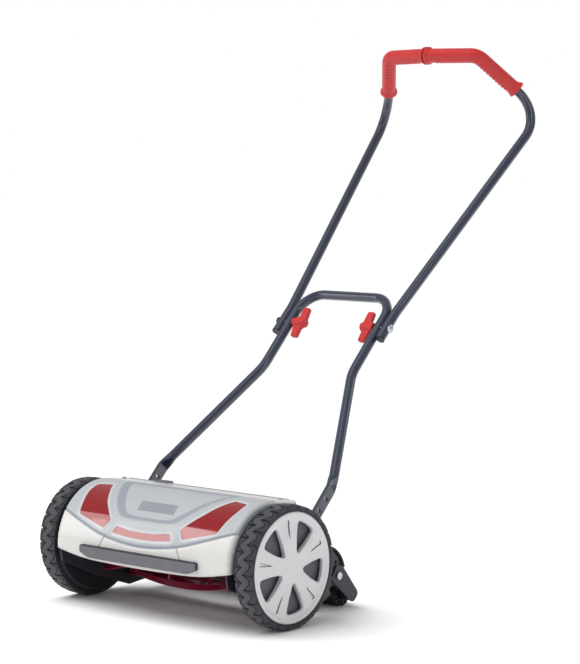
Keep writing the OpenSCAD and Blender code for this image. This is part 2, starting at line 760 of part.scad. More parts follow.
// Soft grip: a sleeve from the middle of the bar round the corner and down the arm
grip_out = unit(right_path[2] - right_path[3]);
grip_end = right_path[3] + grip_out * grip_len;
grip_path = [grip_end, right_path[3], right_path[4], flip(right_path[3]), flip(grip_end)];
bar_crown = bar_r * (1 / cos(asin(-bar_bow[0] / norm([grip_x, bar_bow[0], bar_bow[1]]))) - 1);
module grip() {
    turn = atan2(grip_out[1], grip_out[0]);
    lean = acos(grip_out[2]);
    intersection() {
        bent_tube(grip_path, [0, grip_corner_r, bar_r, grip_corner_r, 0], grip_r, grip_r - grip_bore);
        translate([gap, -500, 0]) cube([500, 2000, 2000]);
    }
    translate(grip_end) rotate([0, lean, turn]) rotate_extrude() polygon([
        [grip_bore, -9], [grip_r, -9], [flare_r, -1], [flare_r, 2], [grip_bore, 2]
    ]);
    middle = on(0, bar_mid) + bar_crown * unit([0, -bar_bow[0], -bar_bow[1]]);
    translate([gap, middle[1], middle[2]]) rotate([0, 90, 0]) rotate_extrude()
        polygon([[grip_bore + 0.3, 0], [flare_r - 1, 0], [flare_r - 1, 4], [grip_r, 9], [grip_bore + 0.3, 9]]);
}
module grip_left() { color("indianred") at_axle() side(-1) grip(); }
module grip_right() { color("indianred") at_axle() grip(); }

// Carriage bolts: domed head outside the upper tube, thread inwards through both tubes
nut_face = lower_x - tube_r - gap;
nut_len = 29;
module fold_bolts() {
    color("silver") at_axle() for (s = [-1, 1]) side(s) {
        rod(nut_face - 20, upper_x + tube_r + 0.5, fold, bolt_r);
        translate([upper_x + tube_r + 0.5, fold_y, fold_z]) rotate([0, 90, 0]) intersection() {
            cylinder(h = 4, r = 8);
            translate([0, 0, -7]) sphere(r = 11);
        }
    }
}

// Wing nut: a long hub with two slanted wings, turned by hand on the bolt's thread
wing_span = 62;
wing_t = 9;
wing_turn = lower_slope + 8;
module wing_nut() {
    difference() {
        union() {
            rod(nut_face, nut_face - nut_len, fold, 9);
            translate([0, fold_y, fold_z]) rotate([wing_turn, 0, 0]) translate([0, 0, -wing_t / 2])
                linear_extrude(wing_t) polygon(rounded([
                    [nut_face - 12, -wing_span / 2], [nut_face - 24, -wing_span / 2], [nut_face - 28, -6],
                    [nut_face - 28, 12], [nut_face - 20, wing_span / 2], [nut_face - 8, wing_span / 2],
                    [nut_face - 5, 6], [nut_face - 5, -12]
                ], [2, 2, 6, 6, 2, 2, 6, 6]));
        }
        rod(nut_face + 1, nut_face - nut_len - 1, fold, bolt_r + run);
    }
}
module wing_nut_left() { color("indianred") at_axle() side(-1) wing_nut(); }
module wing_nut_right() { color("indianred") at_axle() wing_nut(); }

side_plate_left();
side_plate_right();
tie_rods();
hood();
bumper_strip();
hood_screws();
handle_clip();
rear_guard();
gear_cover_left();
gear_cover_right();
axle_left();
axle_right();
wheel_clips();
bearing_left();
bearing_right();
handle_bolts();
arm_bolts();
bed_pivot_screws();
bed_bar();
bed_knife();
knife_screws();
tyre_left();
wheel_body_left();
wheel_cover_left();
tyre_right();
wheel_body_right();
wheel_cover_right();
pinion_left();
pinion_right();
drive_key_left();
drive_key_right();
reel_shaft();
reel_spiders();
reel_blade_1();
reel_blade_2();
reel_blade_3();
reel_blade_4();
reel_blade_5();
reel_clips();
roller_arm_left();
roller_arm_right();
roller_axle();
rear_roller();
roller_cap_left();
roller_cap_right();
lower_handle();
upper_handle();
grip_left();
grip_right();
fold_bolts();
tube_plugs();
wing_nut_left();
wing_nut_right();
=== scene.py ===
import json
import math
import bpy
import numpy as np
from mathutils import Matrix, Vector
from mathutils.geometry import delaunay_2d_cdt
from mathutils.kdtree import KDTree


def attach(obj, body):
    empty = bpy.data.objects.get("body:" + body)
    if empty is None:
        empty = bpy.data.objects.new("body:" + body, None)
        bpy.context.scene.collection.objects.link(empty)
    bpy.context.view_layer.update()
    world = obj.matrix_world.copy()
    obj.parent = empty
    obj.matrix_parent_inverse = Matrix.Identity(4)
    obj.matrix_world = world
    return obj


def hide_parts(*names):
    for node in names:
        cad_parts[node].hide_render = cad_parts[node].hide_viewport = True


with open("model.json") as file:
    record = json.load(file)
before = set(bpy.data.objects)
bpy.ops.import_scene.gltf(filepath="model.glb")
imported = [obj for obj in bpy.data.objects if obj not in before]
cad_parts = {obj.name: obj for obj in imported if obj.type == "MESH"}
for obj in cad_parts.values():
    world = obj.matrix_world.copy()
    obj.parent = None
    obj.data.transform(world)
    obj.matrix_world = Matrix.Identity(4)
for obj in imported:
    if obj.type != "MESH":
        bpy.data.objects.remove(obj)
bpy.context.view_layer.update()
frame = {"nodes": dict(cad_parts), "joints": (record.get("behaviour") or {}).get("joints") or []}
scene = bpy.context.scene
mm = 0.001


def jointPlace(name):
    found = next(joint for joint in frame["joints"] if joint["name"] == name)
    return Vector(found["pos_m"])


axle = jointPlace("wheel_right_spin")
axle.x = 0
reelAxis = jointPlace("reel_spin")
handleBolt = jointPlace("handle_pivot")
foldBolt = jointPlace("handle_fold")
rollerAxis = jointPlace("roller_spin")

# ---------- camera, lights and floor ----------
view = {
    "azimuth": 41.79,      # degrees round from the front, towards the right wheel
    "elevation": 4.70,
    "distance": 3.928,     # metres
    "focal": 129.6,
    "aim": (0.2466, 0.4967),   # sideways and up from the ground below the wheel axle
}


def placeCamera():
    turn, rise = math.radians(view["azimuth"]), math.radians(view["elevation"])
    back = Vector((math.sin(turn) * math.cos(rise), -math.cos(turn) * math.cos(rise), math.sin(rise)))
    camera = bpy.data.objects.new("camera", bpy.data.cameras.new("camera"))
    camera.data.lens = view["focal"]
    camera.data.clip_end = 100
    camera.location = Vector((view["aim"][0], axle.y, view["aim"][1])) + back * view["distance"]
    camera.rotation_euler = back.to_track_quat("Z", "Y").to_euler()
    scene.collection.objects.link(camera)
    scene.camera = camera


def addLamp(name, place, aim, size, power):
    lamp = bpy.data.objects.new(name, bpy.data.lights.new(name, "AREA"))
    lamp.data.shape = "RECTANGLE"
    lamp.data.size, lamp.data.size_y = size
    lamp.data.energy = power
    lamp.location = place
    lamp.rotation_euler = (Vector(place) - Vector(aim)).to_track_quat("Z", "Y").to_euler()
    scene.collection.objects.link(lamp)


placeCamera()
scene.view_settings.view_transform = "Standard"
middle = (0, 0, 0.4)
addLamp("skyPanel", (-0.3, -1.2, 3.2), middle, (2.0, 2.0), 10)
addLamp("leftPanel", (-2.6, -2.4, 1.6), middle, (0.8, 2.4), 12)
addLamp("rightPanel", (3.2, -0.6, 1.9), middle, (0.7, 2.2), 12)
addLamp("backPanel", (0.8, 3.0, 2.2), middle, (2.4, 0.8), 8)
# A wide soft sun lights the whole floor evenly, out to where it meets the room
soft = bpy.data.objects.new("softSun", bpy.data.lights.new("softSun", "SUN"))
soft.data.energy, soft.data.angle = 2.35, math.radians(50)
soft.rotation_euler = Vector((-0.9, -0.7, 1.9)).to_track_quat("Z", "Y").to_euler()
# It lights but isn't mirrored, so that the glossy lacquers keep their depth
soft.visible_glossy = False
scene.collection.objects.link(soft)
print("camera and lights placed")


# ---------- materials ----------
def linear(hexText):
    channels = [int(hexText[i:i + 2], 16) / 255 for i in (1, 3, 5)]
    return [c / 12.92 if c <= 0.04045 else ((c + 0.055) / 1.055) ** 2.4 for c in channels] + [1]


def addNode(tree, kind, settings=(), inputs=(), links=()):
    node = tree.nodes.new(kind)
    for name, value in dict(settings).items():
        setattr(node, name, value)
    for socket, value in dict(inputs).items():
        node.inputs[socket].default_value = value
    for socket, (source, output) in dict(links).items():
        tree.links.new(source.outputs[output], node.inputs[socket])
    return node


# Mix node sockets for colours: factor, first colour, second colour, result
mixBy, mixA, mixB, mixOut = 0, 6, 7, 2


def makeFinish(name, look):
    # look: colour and shade in sRGB, the size of their patches, roughness range, grain size and
    # depth in millimetres; coat and metallic where the real surface has them
    material = bpy.data.materials.new(name)
    material.use_nodes = True
    tree = material.node_tree
    shader = tree.nodes["Principled BSDF"]
    place = addNode(tree, "ShaderNodeTexCoord")
    cloud = addNode(
        tree, "ShaderNodeTexNoise", inputs={"Scale": 1 / (look["patch"] * mm), "Detail": 3},
        links={"Vector": (place, "Object")},
    )
    tint = addNode(
        tree, "ShaderNodeMix", {"data_type": "RGBA"},
        {mixA: linear(look["colour"]), mixB: linear(look["shade"])}, {mixBy: (cloud, 0)},
    )
    tree.links.new(tint.outputs[mixOut], shader.inputs["Base Color"])
    polish = addNode(
        tree, "ShaderNodeMapRange", inputs={"To Min": look["rough"][0], "To Max": look["rough"][1]},
        links={"Value": (cloud, 0)},
    )
    tree.links.new(polish.outputs[0], shader.inputs["Roughness"])
    grain = addNode(
        tree, "ShaderNodeTexNoise", inputs={"Scale": 1 / (look["grain"] * mm), "Detail": 2},
        links={"Vector": (place, "Object")},
    )
    bump = addNode(
        tree, "ShaderNodeBump", inputs={"Strength": 1, "Distance": look["depth"] * mm},
        links={"Height": (grain, 0)},
    )
    tree.links.new(bump.outputs[0], shader.inputs["Normal"])
    shader.inputs["Metallic"].default_value = look.get("metallic", 0)
    shader.inputs["Coat Weight"].default_value = look.get("coat", 0)
    shader.inputs["Coat Roughness"].default_value = look.get("coatRough", 0.1)
    if "ior" in look:
        shader.inputs["IOR"].default_value = look["ior"]
    return material


looks = {
    # Injection-moulded ABS: glossy, with a faint orange peel
    "mouldedAbsWhite": {"colour": "#d3d1ce", "shade": "#cdcbc8", "patch": 60, "rough": (0.22, 0.3),
                        "grain": 9, "depth": 0.02, "coat": 0.3, "ior": 1.53},
    # Silver lacquer on ABS: a touch darker and flatter than the bare plastic
    "silverLacquer": {"colour": "#b4b7ba", "shade": "#acb0b3", "patch": 45, "rough": (0.3, 0.38),
                      "grain": 8, "depth": 0.015, "metallic": 0.15, "coat": 0.3, "ior": 1.53},
    # The same lacquer in a lighter tone, on the frames of the red panels
    "lightLacquer": {"colour": "#c1c4c6", "shade": "#babdc0", "patch": 45, "rough": (0.28, 0.36),
                     "grain": 8, "depth": 0.015, "metallic": 0.1, "coat": 0.3, "ior": 1.53},
    # The same lacquer in a deeper tone, on the recess's border; in the grooves and creases the same grey is
    # painted shade
    "greyLacquerAndGrooveShade": {"colour": "#979da6", "shade": "#8f969f", "patch": 30, "rough": (0.3, 0.4),
                    "grain": 7, "depth": 0.015, "metallic": 0.15, "coat": 0.2, "ior": 1.53},
    # Red acrylic lacquer under clear coat: deep colour with sharp reflections
    "redLacquer": {"colour": "#8a040f", "shade": "#7d030c", "patch": 50, "rough": (0.16, 0.22),
                   "grain": 12, "depth": 0.01, "coat": 0.3, "coatRough": 0.04, "ior": 1.4},
    # Its pale lower band: painted reflection of the bright room on the glossy red
    "redLacquerPaintedReflection": {"colour": "#b06a6a", "shade": "#a96061", "patch": 40, "rough": (0.2, 0.28),
                       "grain": 12, "depth": 0.01, "coat": 1.0, "coatRough": 0.05, "ior": 1.5},
    # Printed label: matt grey ink
    "labelInk": {"colour": "#8a8f95", "shade": "#82878d", "patch": 12, "rough": (0.42, 0.5),
                 "grain": 5, "depth": 0.01, "ior": 1.5},
    # Soft TPE: matt grey with a fine spark-eroded grain, drawn at 2 mm so that it shows
    "softBumper": {"colour": "#6c6b71", "shade": "#5f5e65", "patch": 25, "rough": (0.5, 0.62),
                   "grain": 2, "depth": 0.05, "ior": 1.5},
    # The same, in the shade of its own rounded edge
    "softBumperPaintedShade": {"colour": "#2e2d33", "shade": "#27262b", "patch": 25, "rough": (0.45, 0.55),
                       "grain": 2, "depth": 0.05, "ior": 1.5},
    # Cast nylon, mid grey
    "greyNylon": {"colour": "#6d7078", "shade": "#62656d", "patch": 10, "rough": (0.4, 0.5),
                  "grain": 2, "depth": 0.02, "ior": 1.53},
    # Black polypropylene: a soft sheen and flow marks
    "blackPolypropylene": {"colour": "#1c1d24", "shade": "#14151b", "patch": 30, "rough": (0.36, 0.5),
                           "grain": 4, "depth": 0.03, "ior": 1.49},
    # Dark grey moulded polypropylene of the wheel body; on the walls of the covers' wedge marks the same grey
    # is painted shade
    "wheelPolypropyleneAndWallShade": {"colour": "#5c5c66", "shade": "#54545e", "patch": 22, "rough": (0.45, 0.55),
                           "grain": 2.5, "depth": 0.03, "ior": 1.49},
    # Sprayed silver paint with metal flake on the wheel covers
    "flakeSilver": {"colour": "#d6d7d8", "shade": "#cecfd1", "patch": 26, "rough": (0.34, 0.44),
                    "grain": 3, "depth": 0.012, "metallic": 0.15, "coat": 0.25, "coatRough": 0.2},
    # Powder coat on pressed steel: dark violet grey, faintly pebbled; the grey is set darker than the coat's
    # own as painted shade for the plates under the hood
    "powderCoatSteelAndPaintedShade": {"colour": "#2c2b38", "shade": "#262531", "patch": 35, "rough": (0.34, 0.46),
                        "grain": 2, "depth": 0.03, "ior": 1.5},
    # Bright zinc plating with cloudy passivation
    "zincPlate": {"colour": "#c9ccd0", "shade": "#aeb4bd", "patch": 6, "rough": (0.22, 0.4),
                  "grain": 1.5, "depth": 0.01, "metallic": 1},
    # Turned and hobbed steel, lightly oiled
    "machinedSteel": {"colour": "#8f9297", "shade": "#7c8086", "patch": 5, "rough": (0.28, 0.42),
                      "grain": 1.2, "depth": 0.01, "metallic": 1},
    # Sintered bronze, oil-dark
    "sinteredBronze": {"colour": "#9a6d3a", "shade": "#7f5628", "patch": 4, "rough": (0.45, 0.6),
                       "grain": 1, "depth": 0.02, "metallic": 1},
    # Stoved enamel on the reel and bed: dark red, glossy, a little uneven over the welds
    "darkRedEnamel": {"colour": "#8a0c30", "shade": "#760927", "patch": 40, "rough": (0.24, 0.36),
                      "grain": 7, "depth": 0.04, "coat": 0.5, "ior": 1.5},
    # Glossy blue-grey enamel on drawn tube, with long soft waves from the drawing
    "blueGreyEnamel": {"colour": "#1d2840", "shade": "#172137", "patch": 60, "rough": (0.16, 0.24),
                       "grain": 14, "depth": 0.02, "coat": 0.9, "coatRough": 0.06, "ior": 1.5},
    # Soft coral-red TPE: matt, with a rubbed bloom
    "coralTpe": {"colour": "#c22a2b", "shade": "#b52425", "patch": 30, "rough": (0.38, 0.5),
                 "grain": 2.5, "depth": 0.012, "ior": 1.5},
    # Natural rubber: dark grey and dull
    "sidewallRubber": {"colour": "#1b1b22", "shade": "#15151b", "patch": 18, "rough": (0.5, 0.66),
                       "grain": 2.5, "depth": 0.05, "ior": 1.52},
    # Tread blocks: the same rubber, lighter and browner on its crown
    "treadRubber": {"colour": "#504f50", "shade": "#38383f", "patch": 16, "rough": (0.6, 0.75),
                    "grain": 3, "depth": 0.12, "ior": 1.52},
    # Shoulder blocks: darker blue-grey rubber
    "lugRubber": {"colour": "#2f303b", "shade": "#272832", "patch": 14, "rough": (0.45, 0.6),
                  "grain": 3, "depth": 0.08, "ior": 1.52},
    # Studio floor: matt white sheet
    "floorSheet": {"colour": "#f8f8f8", "shade": "#f7f7f7", "patch": 900, "rough": (0.8, 0.9),
                   "grain": 60, "depth": 0.0},
}
finishes = {name: makeFinish(name, look) for name, look in looks.items()}


def makeStage():
    # The camera sees a white room; the object is lit by a dimmer one
    world = bpy.data.worlds.new("studio")
    scene.world = world
    world.use_nodes = True
    tree = world.node_tree
    ray = addNode(tree, "ShaderNodeLightPath")
    strength = addNode(
        tree, "ShaderNodeMapRange", inputs={"To Min": 0.5, "To Max": 1.0},
        links={"Value": (ray, "Is Camera Ray")},
    )
    room = tree.nodes["Background"]
    room.inputs["Color"].default_value = (1, 1, 1, 1)
    tree.links.new(strength.outputs[0], room.inputs["Strength"])
    half = 20   # metres
    corners = [(-half, -half, 0), (half, -half, 0), (half, half, 0), (-half, half, 0)]
    mesh = bpy.data.meshes.new("floor")
    mesh.from_pydata(corners, [], [(0, 1, 2, 3)])
    mesh.materials.append(finishes["floorSheet"])
    floor = bpy.data.objects.new("floor", mesh)
    scene.collection.objects.link(floor)


makeStage()
print("materials made")


# ---------- shared mesh tools ----------
def makePiece(name, vertices, faces, finishNames, faceFinish=None, smoothAngle=35):
    mesh = bpy.data.meshes.new(name)
    mesh.from_pydata([tuple(v) for v in vertices], [], faces)
    for finish in finishNames:
        mesh.materials.append(finishes[finish])
    if faceFinish is not None:
        mesh.polygons.foreach_set("material_index", faceFinish)
    mesh.shade_smooth()
    mesh.set_sharp_from_angle(angle=math.radians(smoothAngle))
    piece = bpy.data.objects.new(name, mesh)
    scene.collection.objects.link(piece)
    return piece


def applyModifiers(piece):
    graph = bpy.context.evaluated_depsgraph_get()
    mesh = bpy.data.meshes.new_from_object(piece.evaluated_get(graph))
    piece.modifiers.clear()
    piece.data = mesh
    return piece


def handOver(piece, body, slot, *nodes):
    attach(piece, body)
    if nodes:
        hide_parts(*nodes)


def paint(finish, *nodes):
    for node in nodes:
        for slot in frame["nodes"][node].material_slots:
            slot.material = finishes[finish]


def mirrorX(vertices, faces):
    return [(-x, y, z) for x, y, z in vertices], [tuple(reversed(face)) for face in faces]


# Faces of a box whose corners come in the order of x, then y, then z
boxFaces = [(0, 1, 3, 2), (4, 6, 7, 5), (0, 4, 5, 1), (2, 3, 7, 6), (0, 2, 6, 4), (1, 5, 7, 3)]


def bothSides(name, vertices, faces, finishNames, faceFinish, bodies, slot, nodes, smoothAngle=35):
    # One piece for the right side as it is, and its mirror image for the left
    for side, body, node in zip(("Right", "Left"), bodies, nodes):
        if side == "Left":
            vertices, faces = mirrorX(vertices, faces)
        piece = makePiece(name + side, vertices, faces, finishNames, faceFinish, smoothAngle)
        handOver(piece, body, slot, *([node] if node else []))


def roundPath(corners, radii, bendStep=5):
    # A line through the corners, with an arc of its own radius at each inner one
    path = [corners[0]]
    for before, corner, after, radius in zip(corners, corners[1:], corners[2:], radii[1:]):
        u, v = (before - corner).normalized(), (after - corner).normalized()
        half = u.angle(v) / 2
        centre = corner + (u + v).normalized() * radius / math.sin(half)
        first = corner + u * radius / math.tan(half) - centre
        last = corner + v * radius / math.tan(half) - centre
        steps = max(2, round(math.degrees(math.pi - 2 * half) / bendStep))
        path += [centre + first.slerp(last, i / steps) * radius for i in range(steps + 1)]
    return path + [corners[-1]]


def resample(path, step):
    # Keeps the path's own points and adds more, so that none are further apart than step
    dense = [path[0]]
    for a, b in zip(path, path[1:]):
        parts = max(1, math.ceil((b - a).length / step))
        dense += [a.lerp(b, (i + 1) / parts) for i in range(parts)]
    return dense


def sweep(path, section, side):
    # section(length along the path) gives the outline as (towards side, across) pairs
    vertices, faces = [], []
    length = 0
    for i, point in enumerate(path):
        ahead = path[min(i + 1, len(path) - 1)] - path[max(i - 1, 0)]
        tangent = ahead.normalized()
        side = (side - tangent * side.dot(tangent)).normalized()
        across = tangent.cross(side)
        if i:
            length += (point - path[i - 1]).length
        outline = section(length)
        vertices += [point + side * a + across * b for a, b in outline]
    count = len(outline)
    for i in range(len(path) - 1):
        for k in range(count):
            a, b = i * count + k, i * count + (k + 1) % count
            faces.append((a, b, b + count, a + count))
    faces.append(tuple(reversed(range(count))))
    faces.append(tuple(range((len(path) - 1) * count, len(path) * count)))
    return vertices, faces


def turnProfile(profile, centre, segments=96):
    # Turns a closed outline of (x, radius) points about the X axis through centre
    vertices, faces = [], []
    count = len(profile)
    for i in range(segments):
        angle = 2 * math.pi * i / segments
        vertices += [
            (centre.x + x, centre.y + r * math.cos(angle), centre.z + r * math.sin(angle)) for x, r in profile
        ]
        for k in range(count):
            a, b = i * count + k, i * count + (k + 1) % count
            c, d = (b + count) % (segments * count), (a + count) % (segments * count)
            faces.append((a, b, c, d))
    return vertices, faces


def roundSection(radius, count=28):
    return [
        (radius * math.cos(2 * math.pi * i / count), radius * math.sin(2 * math.pi * i / count))
        for i in range(count)
    ]


def smoothLine(points, step):
    # A curve through the points, as evenly spaced points
    pts = [np.array(p, float) for p in points]
    pts = [2 * pts[0] - pts[1]] + pts + [2 * pts[-1] - pts[-2]]
    line = []
    for p0, p1, p2, p3 in zip(pts, pts[1:], pts[2:], pts[3:]):
        parts = max(1, round(float(np.linalg.norm(p2 - p1)) / step))
        for i in range(parts):
            t = i / parts
            line.append(0.5 * (2 * p1 + (p2 - p0) * t + (2 * p0 - 5 * p1 + 4 * p2 - p3) * t ** 2
                               + (3 * p1 - p0 - 3 * p2 + p3) * t ** 3))
    return line + [pts[-2]]


def roundLoop(points, radii, step):
    # A closed outline with its corners rounded, by one radius or by a radius each
    corners = [Vector((x, y, 0)) for x, y in points]
    radii = radii if isinstance(radii, list) else [radii] * len(corners)
    loop = []
    for i, (corner, radius) in enumerate(zip(corners, radii)):
        u = corners[i - 1] - corner
        v = corners[(i + 1) % len(corners)] - corner
        half = u.angle(v) / 2
        cut = min(radius / math.tan(half), 0.45 * u.length, 0.45 * v.length)
        start, end = corner + u.normalized() * cut, corner + v.normalized() * cut
        for k in range(7):
            t = k / 6
            loop.append(start * (1 - t) ** 2 + corner * 2 * t * (1 - t) + end * t ** 2)
    dense = resample(loop + [loop[0]], step)[:-1]
    return [np.array((p.x, p.y)) for p in dense]


def mirrored(half):
    # A line drawn from the middle outwards, made whole
    return [(-x, y) for x, y in reversed(half) if x > 0] + list(half)


def ribbon(line, width):
    # A closed band along an open line
    line = np.array(line)
    along = np.gradient(line, axis=0)
    along /= np.linalg.norm(along, axis=1)[:, None]
    out = np.stack([-along[:, 1], along[:, 0]], 1) * width / 2
    return list(line + out) + list((line - out)[::-1])


def inset(loop, depth):
    # The closed loop moved inwards; the loop runs anticlockwise
    loop = np.array(loop)
    along = np.roll(loop, -1, 0) - np.roll(loop, 1, 0)
    along /= np.linalg.norm(along, axis=1)[:, None]
    return list(loop + np.stack([-along[:, 1], along[:, 0]], 1) * depth)


def anticlockwise(loop):
    loop = np.array(loop)
    x, y = loop[:, 0], loop[:, 1]
    area = np.sum(x * np.roll(y, -1) - np.roll(x, -1) * y)
    return list(loop if area > 0 else loop[::-1])


def distanceTo(points, line, closed=True):
    # The distance of every point from a line
    line = np.array(line)
    ends = np.roll(line, -1, 0) if closed else line[1:]
    starts = line if closed else line[:-1]
    best = np.full(len(points), 1e9)
    for a, b in zip(starts, ends):
        along = b - a
        t = np.clip(((points - a) @ along) / max(along @ along, 1e-12), 0, 1)
        best = np.minimum(best, np.linalg.norm(points - a - t[:, None] * along, axis=1))
    return best


def isInside(points, loop):
    inside = np.zeros(len(points), bool)
    loop = np.array(loop)
    for (x0, y0), (x1, y1) in zip(loop, np.roll(loop, -1, 0)):
        if y0 == y1:
            continue
        crosses = (y0 > points[:, 1]) != (y1 > points[:, 1])
        inside ^= crosses & (points[:, 0] < (x1 - x0) * (points[:, 1] - y0) / (y1 - y0) + x0)
    return inside


def cutSheet(outline, loops, spacing, holes=()):
    # A flat triangle mesh of the outline, with mesh edges along every loop and the holes left out
    allLoops = [anticlockwise(loop) for loop in [outline, *loops, *holes]]
    points, edges = [], []
    for loop in allLoops:
        first, count = len(points), len(loop)
        points += [Vector(p) for p in loop]
        edges += [(first + i, first + (i + 1) % count) for i in range(count)]
    tree = KDTree(len(points))
    for i, p in enumerate(points):
        tree.insert((p.x, p.y, 0), i)
    tree.balance()
    low, high = np.min(allLoops[0], 0), np.max(allLoops[0], 0)
    rows = int((high[1] - low[1]) / (spacing * 0.87)) + 1
    columns = int((high[0] - low[0]) / spacing) + 1
    grid = np.array([
        (low[0] + (i + 0.5 * (j % 2)) * spacing, low[1] + j * spacing * 0.87)
        for j in range(rows) for i in range(columns)
    ])
    keep = isInside(grid, allLoops[0])
    for hole in holes:
        keep &= ~isInside(grid, hole)
    points += [Vector(p) for p in grid[keep] if tree.find((p[0], p[1], 0))[2] > 0.55 * spacing]
    flat, _, triangles, _, _, _ = delaunay_2d_cdt(points, edges, [], 0, 1e-5)
    flat = np.array([tuple(p) for p in flat])
    triangles = np.array(triangles)
    middles = flat[triangles].mean(1)
    wanted = isInside(middles, allLoops[0])
    for hole in holes:
        wanted &= ~isInside(middles, hole)
    triangles = triangles[wanted]
    return flat, triangles, middles[wanted]


def closeSheet(top, triangles, lowered, zones=None):
    # Gives a sheet its walls and underside; lowered(index, zone) is where a vertex goes underneath.
    # Returns the vertices, the faces and each face's kind: 0 on top, 1 on a wall, 2 underneath
    vertices, faces, kinds, low = list(top), [], [], {}
    zones = [0] * len(triangles) if zones is None else zones

    def under(i, zone):
        if (i, zone) not in low:
            low[i, zone] = len(vertices)
            vertices.append(lowered(i, zone))
        return low[i, zone]

    owner = {}
    for triangle, zone in zip(triangles, zones):
        a, b, c = (int(i) for i in triangle)
        owner[a, b] = owner[b, c] = owner[c, a] = zone
        faces += [(a, b, c), (under(c, zone), under(b, zone), under(a, zone))]
        kinds += [0, 2]
    for (a, b), zone in owner.items():
        other = owner.get((b, a))
        if other is None:
            faces.append((b, a, under(a, zone), under(b, zone)))
            kinds.append(1)
        elif other > zone:
            faces.append((under(b, zone), under(a, zone), under(a, other), under(b, other)))
            kinds.append(1)
    return vertices, faces, kinds


def smoothStep(value):
    value = np.clip(value, 0, 1)
    return value * value * (3 - 2 * value)


def makeRepeater():
    # Copies a piece along a row and round the X axis: Step moves each copy on, Turn turns it on
    tree = bpy.data.node_groups.new("repeatPiece", "GeometryNodeTree")
    face = tree.interface
    for name, kind in (
        ("Geometry", "Geometry"), ("Count", "Int"), ("Centre", "Vector"), ("Step", "Vector"),
        ("Turn", "Float"), ("Finish", "Material"),
    ):
        face.new_socket(name, in_out="INPUT", socket_type="NodeSocket" + kind)
    face.new_socket("Geometry", in_out="OUTPUT", socket_type="NodeSocketGeometry")
    given = addNode(tree, "NodeGroupInput")
    row = addNode(
        tree, "GeometryNodeMeshLine",
        links={"Count": (given, "Count"), "Start Location": (given, "Centre"), "Offset": (given, "Step")},
    )
    index = addNode(tree, "GeometryNodeInputIndex")
    angle = addNode(
        tree, "ShaderNodeMath", {"operation": "MULTIPLY"}, links={0: (index, 0), 1: (given, "Turn")}
    )
    euler = addNode(tree, "ShaderNodeCombineXYZ", links={"X": (angle, 0)})
    turned = addNode(tree, "FunctionNodeEulerToRotation", links={0: (euler, 0)})
    copies = addNode(
        tree, "GeometryNodeInstanceOnPoints",
        links={"Points": (row, "Mesh"), "Instance": (given, "Geometry"), "Rotation": (turned, 0)},
    )
    real = addNode(tree, "GeometryNodeRealizeInstances", links={"Geometry": (copies, 0)})
    coloured = addNode(
        tree, "GeometryNodeSetMaterial", links={"Geometry": (real, 0), "Material": (given, "Finish")}
    )
    result = addNode(tree, "NodeGroupOutput", links={0: (coloured, 0)})
    result.is_active_output = True
    return tree


repeater = makeRepeater()


def repeat(piece, count, centre, finish, step=(0, 0, 0), turn=0.0):
    modifier = piece.modifiers.new("repeat", "NODES")
    modifier.node_group = repeater
    values = {
        "Count": count, "Centre": tuple(centre), "Step": step, "Turn": turn, "Finish": finishes[finish]
    }
    for socket in repeater.interface.items_tree:
        if socket.in_out == "INPUT" and socket.name in values:
            modifier[socket.identifier] = values[socket.name]
    return applyModifiers(piece)


print("tools ready")

# ---------- hood ----------
# Places on the hood are (x, v): v is the length along the surface, up from the level of the axle
hood = {
    "width": 208, "radius": 107, "arcEnd": 95,      # millimetres and degrees
    "lip": (65, 101),         # rear edge, from the axle
    "lipRound": 3.5, "lipDrop": 12,
    "wall": 2.4, "endRound": 9, "bulge": 3,
    "spacing": 4,
    "lowEdge": [(0, -17.2), (90, -16.2), (130, -14.6), (165, -10.5), (208, -3)],
    "smile": [(0, 20), (50, 23.3), (98, 31.5), (150, 47.5), (205, 67)],
    "smileWidth": 5, "smileDepth": 1.6,
    "recessOuter": [(0, 64.5), (40, 64.8), (62, 67.5), (76, 76), (92, 94), (113, 125), (132, 158),
                    (138, 172)],
    "recessInner": [(0, 71.5), (28, 71.8), (50, 74), (62, 82), (79, 102), (100, 134), (117, 162),
                    (120, 168)],
    "recessDepth": 2.2,
    "panel": [(147, 143), (179, 137.5), (178.5, 112), (164.5, 61.5), (95, 42), (83, 57.5), (116, 93)],
    "panelRounds": [5, 7, 40, 9, 5, 4, 60],
    # below this height the red panels are painted paler: painted reflection
    "paintedReflectionBelow": 66,
    "paleStrip": [(-71, 36.5), (-64, 49), (-33, 44.6), (0, 43.4), (33, 44.6), (64, 49), (71, 36.5),
                  (33, 32.8), (0, 31.8), (-33, 32.8)],
    "panelDepth": 1.0, "frameWidth": 4.5,
    "label": [(-41, 107.5), (45, 107.5), (50, 84.5), (-37, 84.5)],
    "labelRound": 1.5, "stripRound": 3,
    "paintedReflectionEdge": (86, 125, 168),     # where the red and its painted reflection meet on a panel
    "slot": [(-100, 153), (-57, 158)], "slotWidth": 2.5,
    "crease": [(84, 31), (97, 9)],
    "topSeam": 181, "seamMargin": 6,
    "bulgeEnd": 150, "bulgeOver": 120,
    "creaseWidth": 2.2, "creaseDepth": 0.8,
}


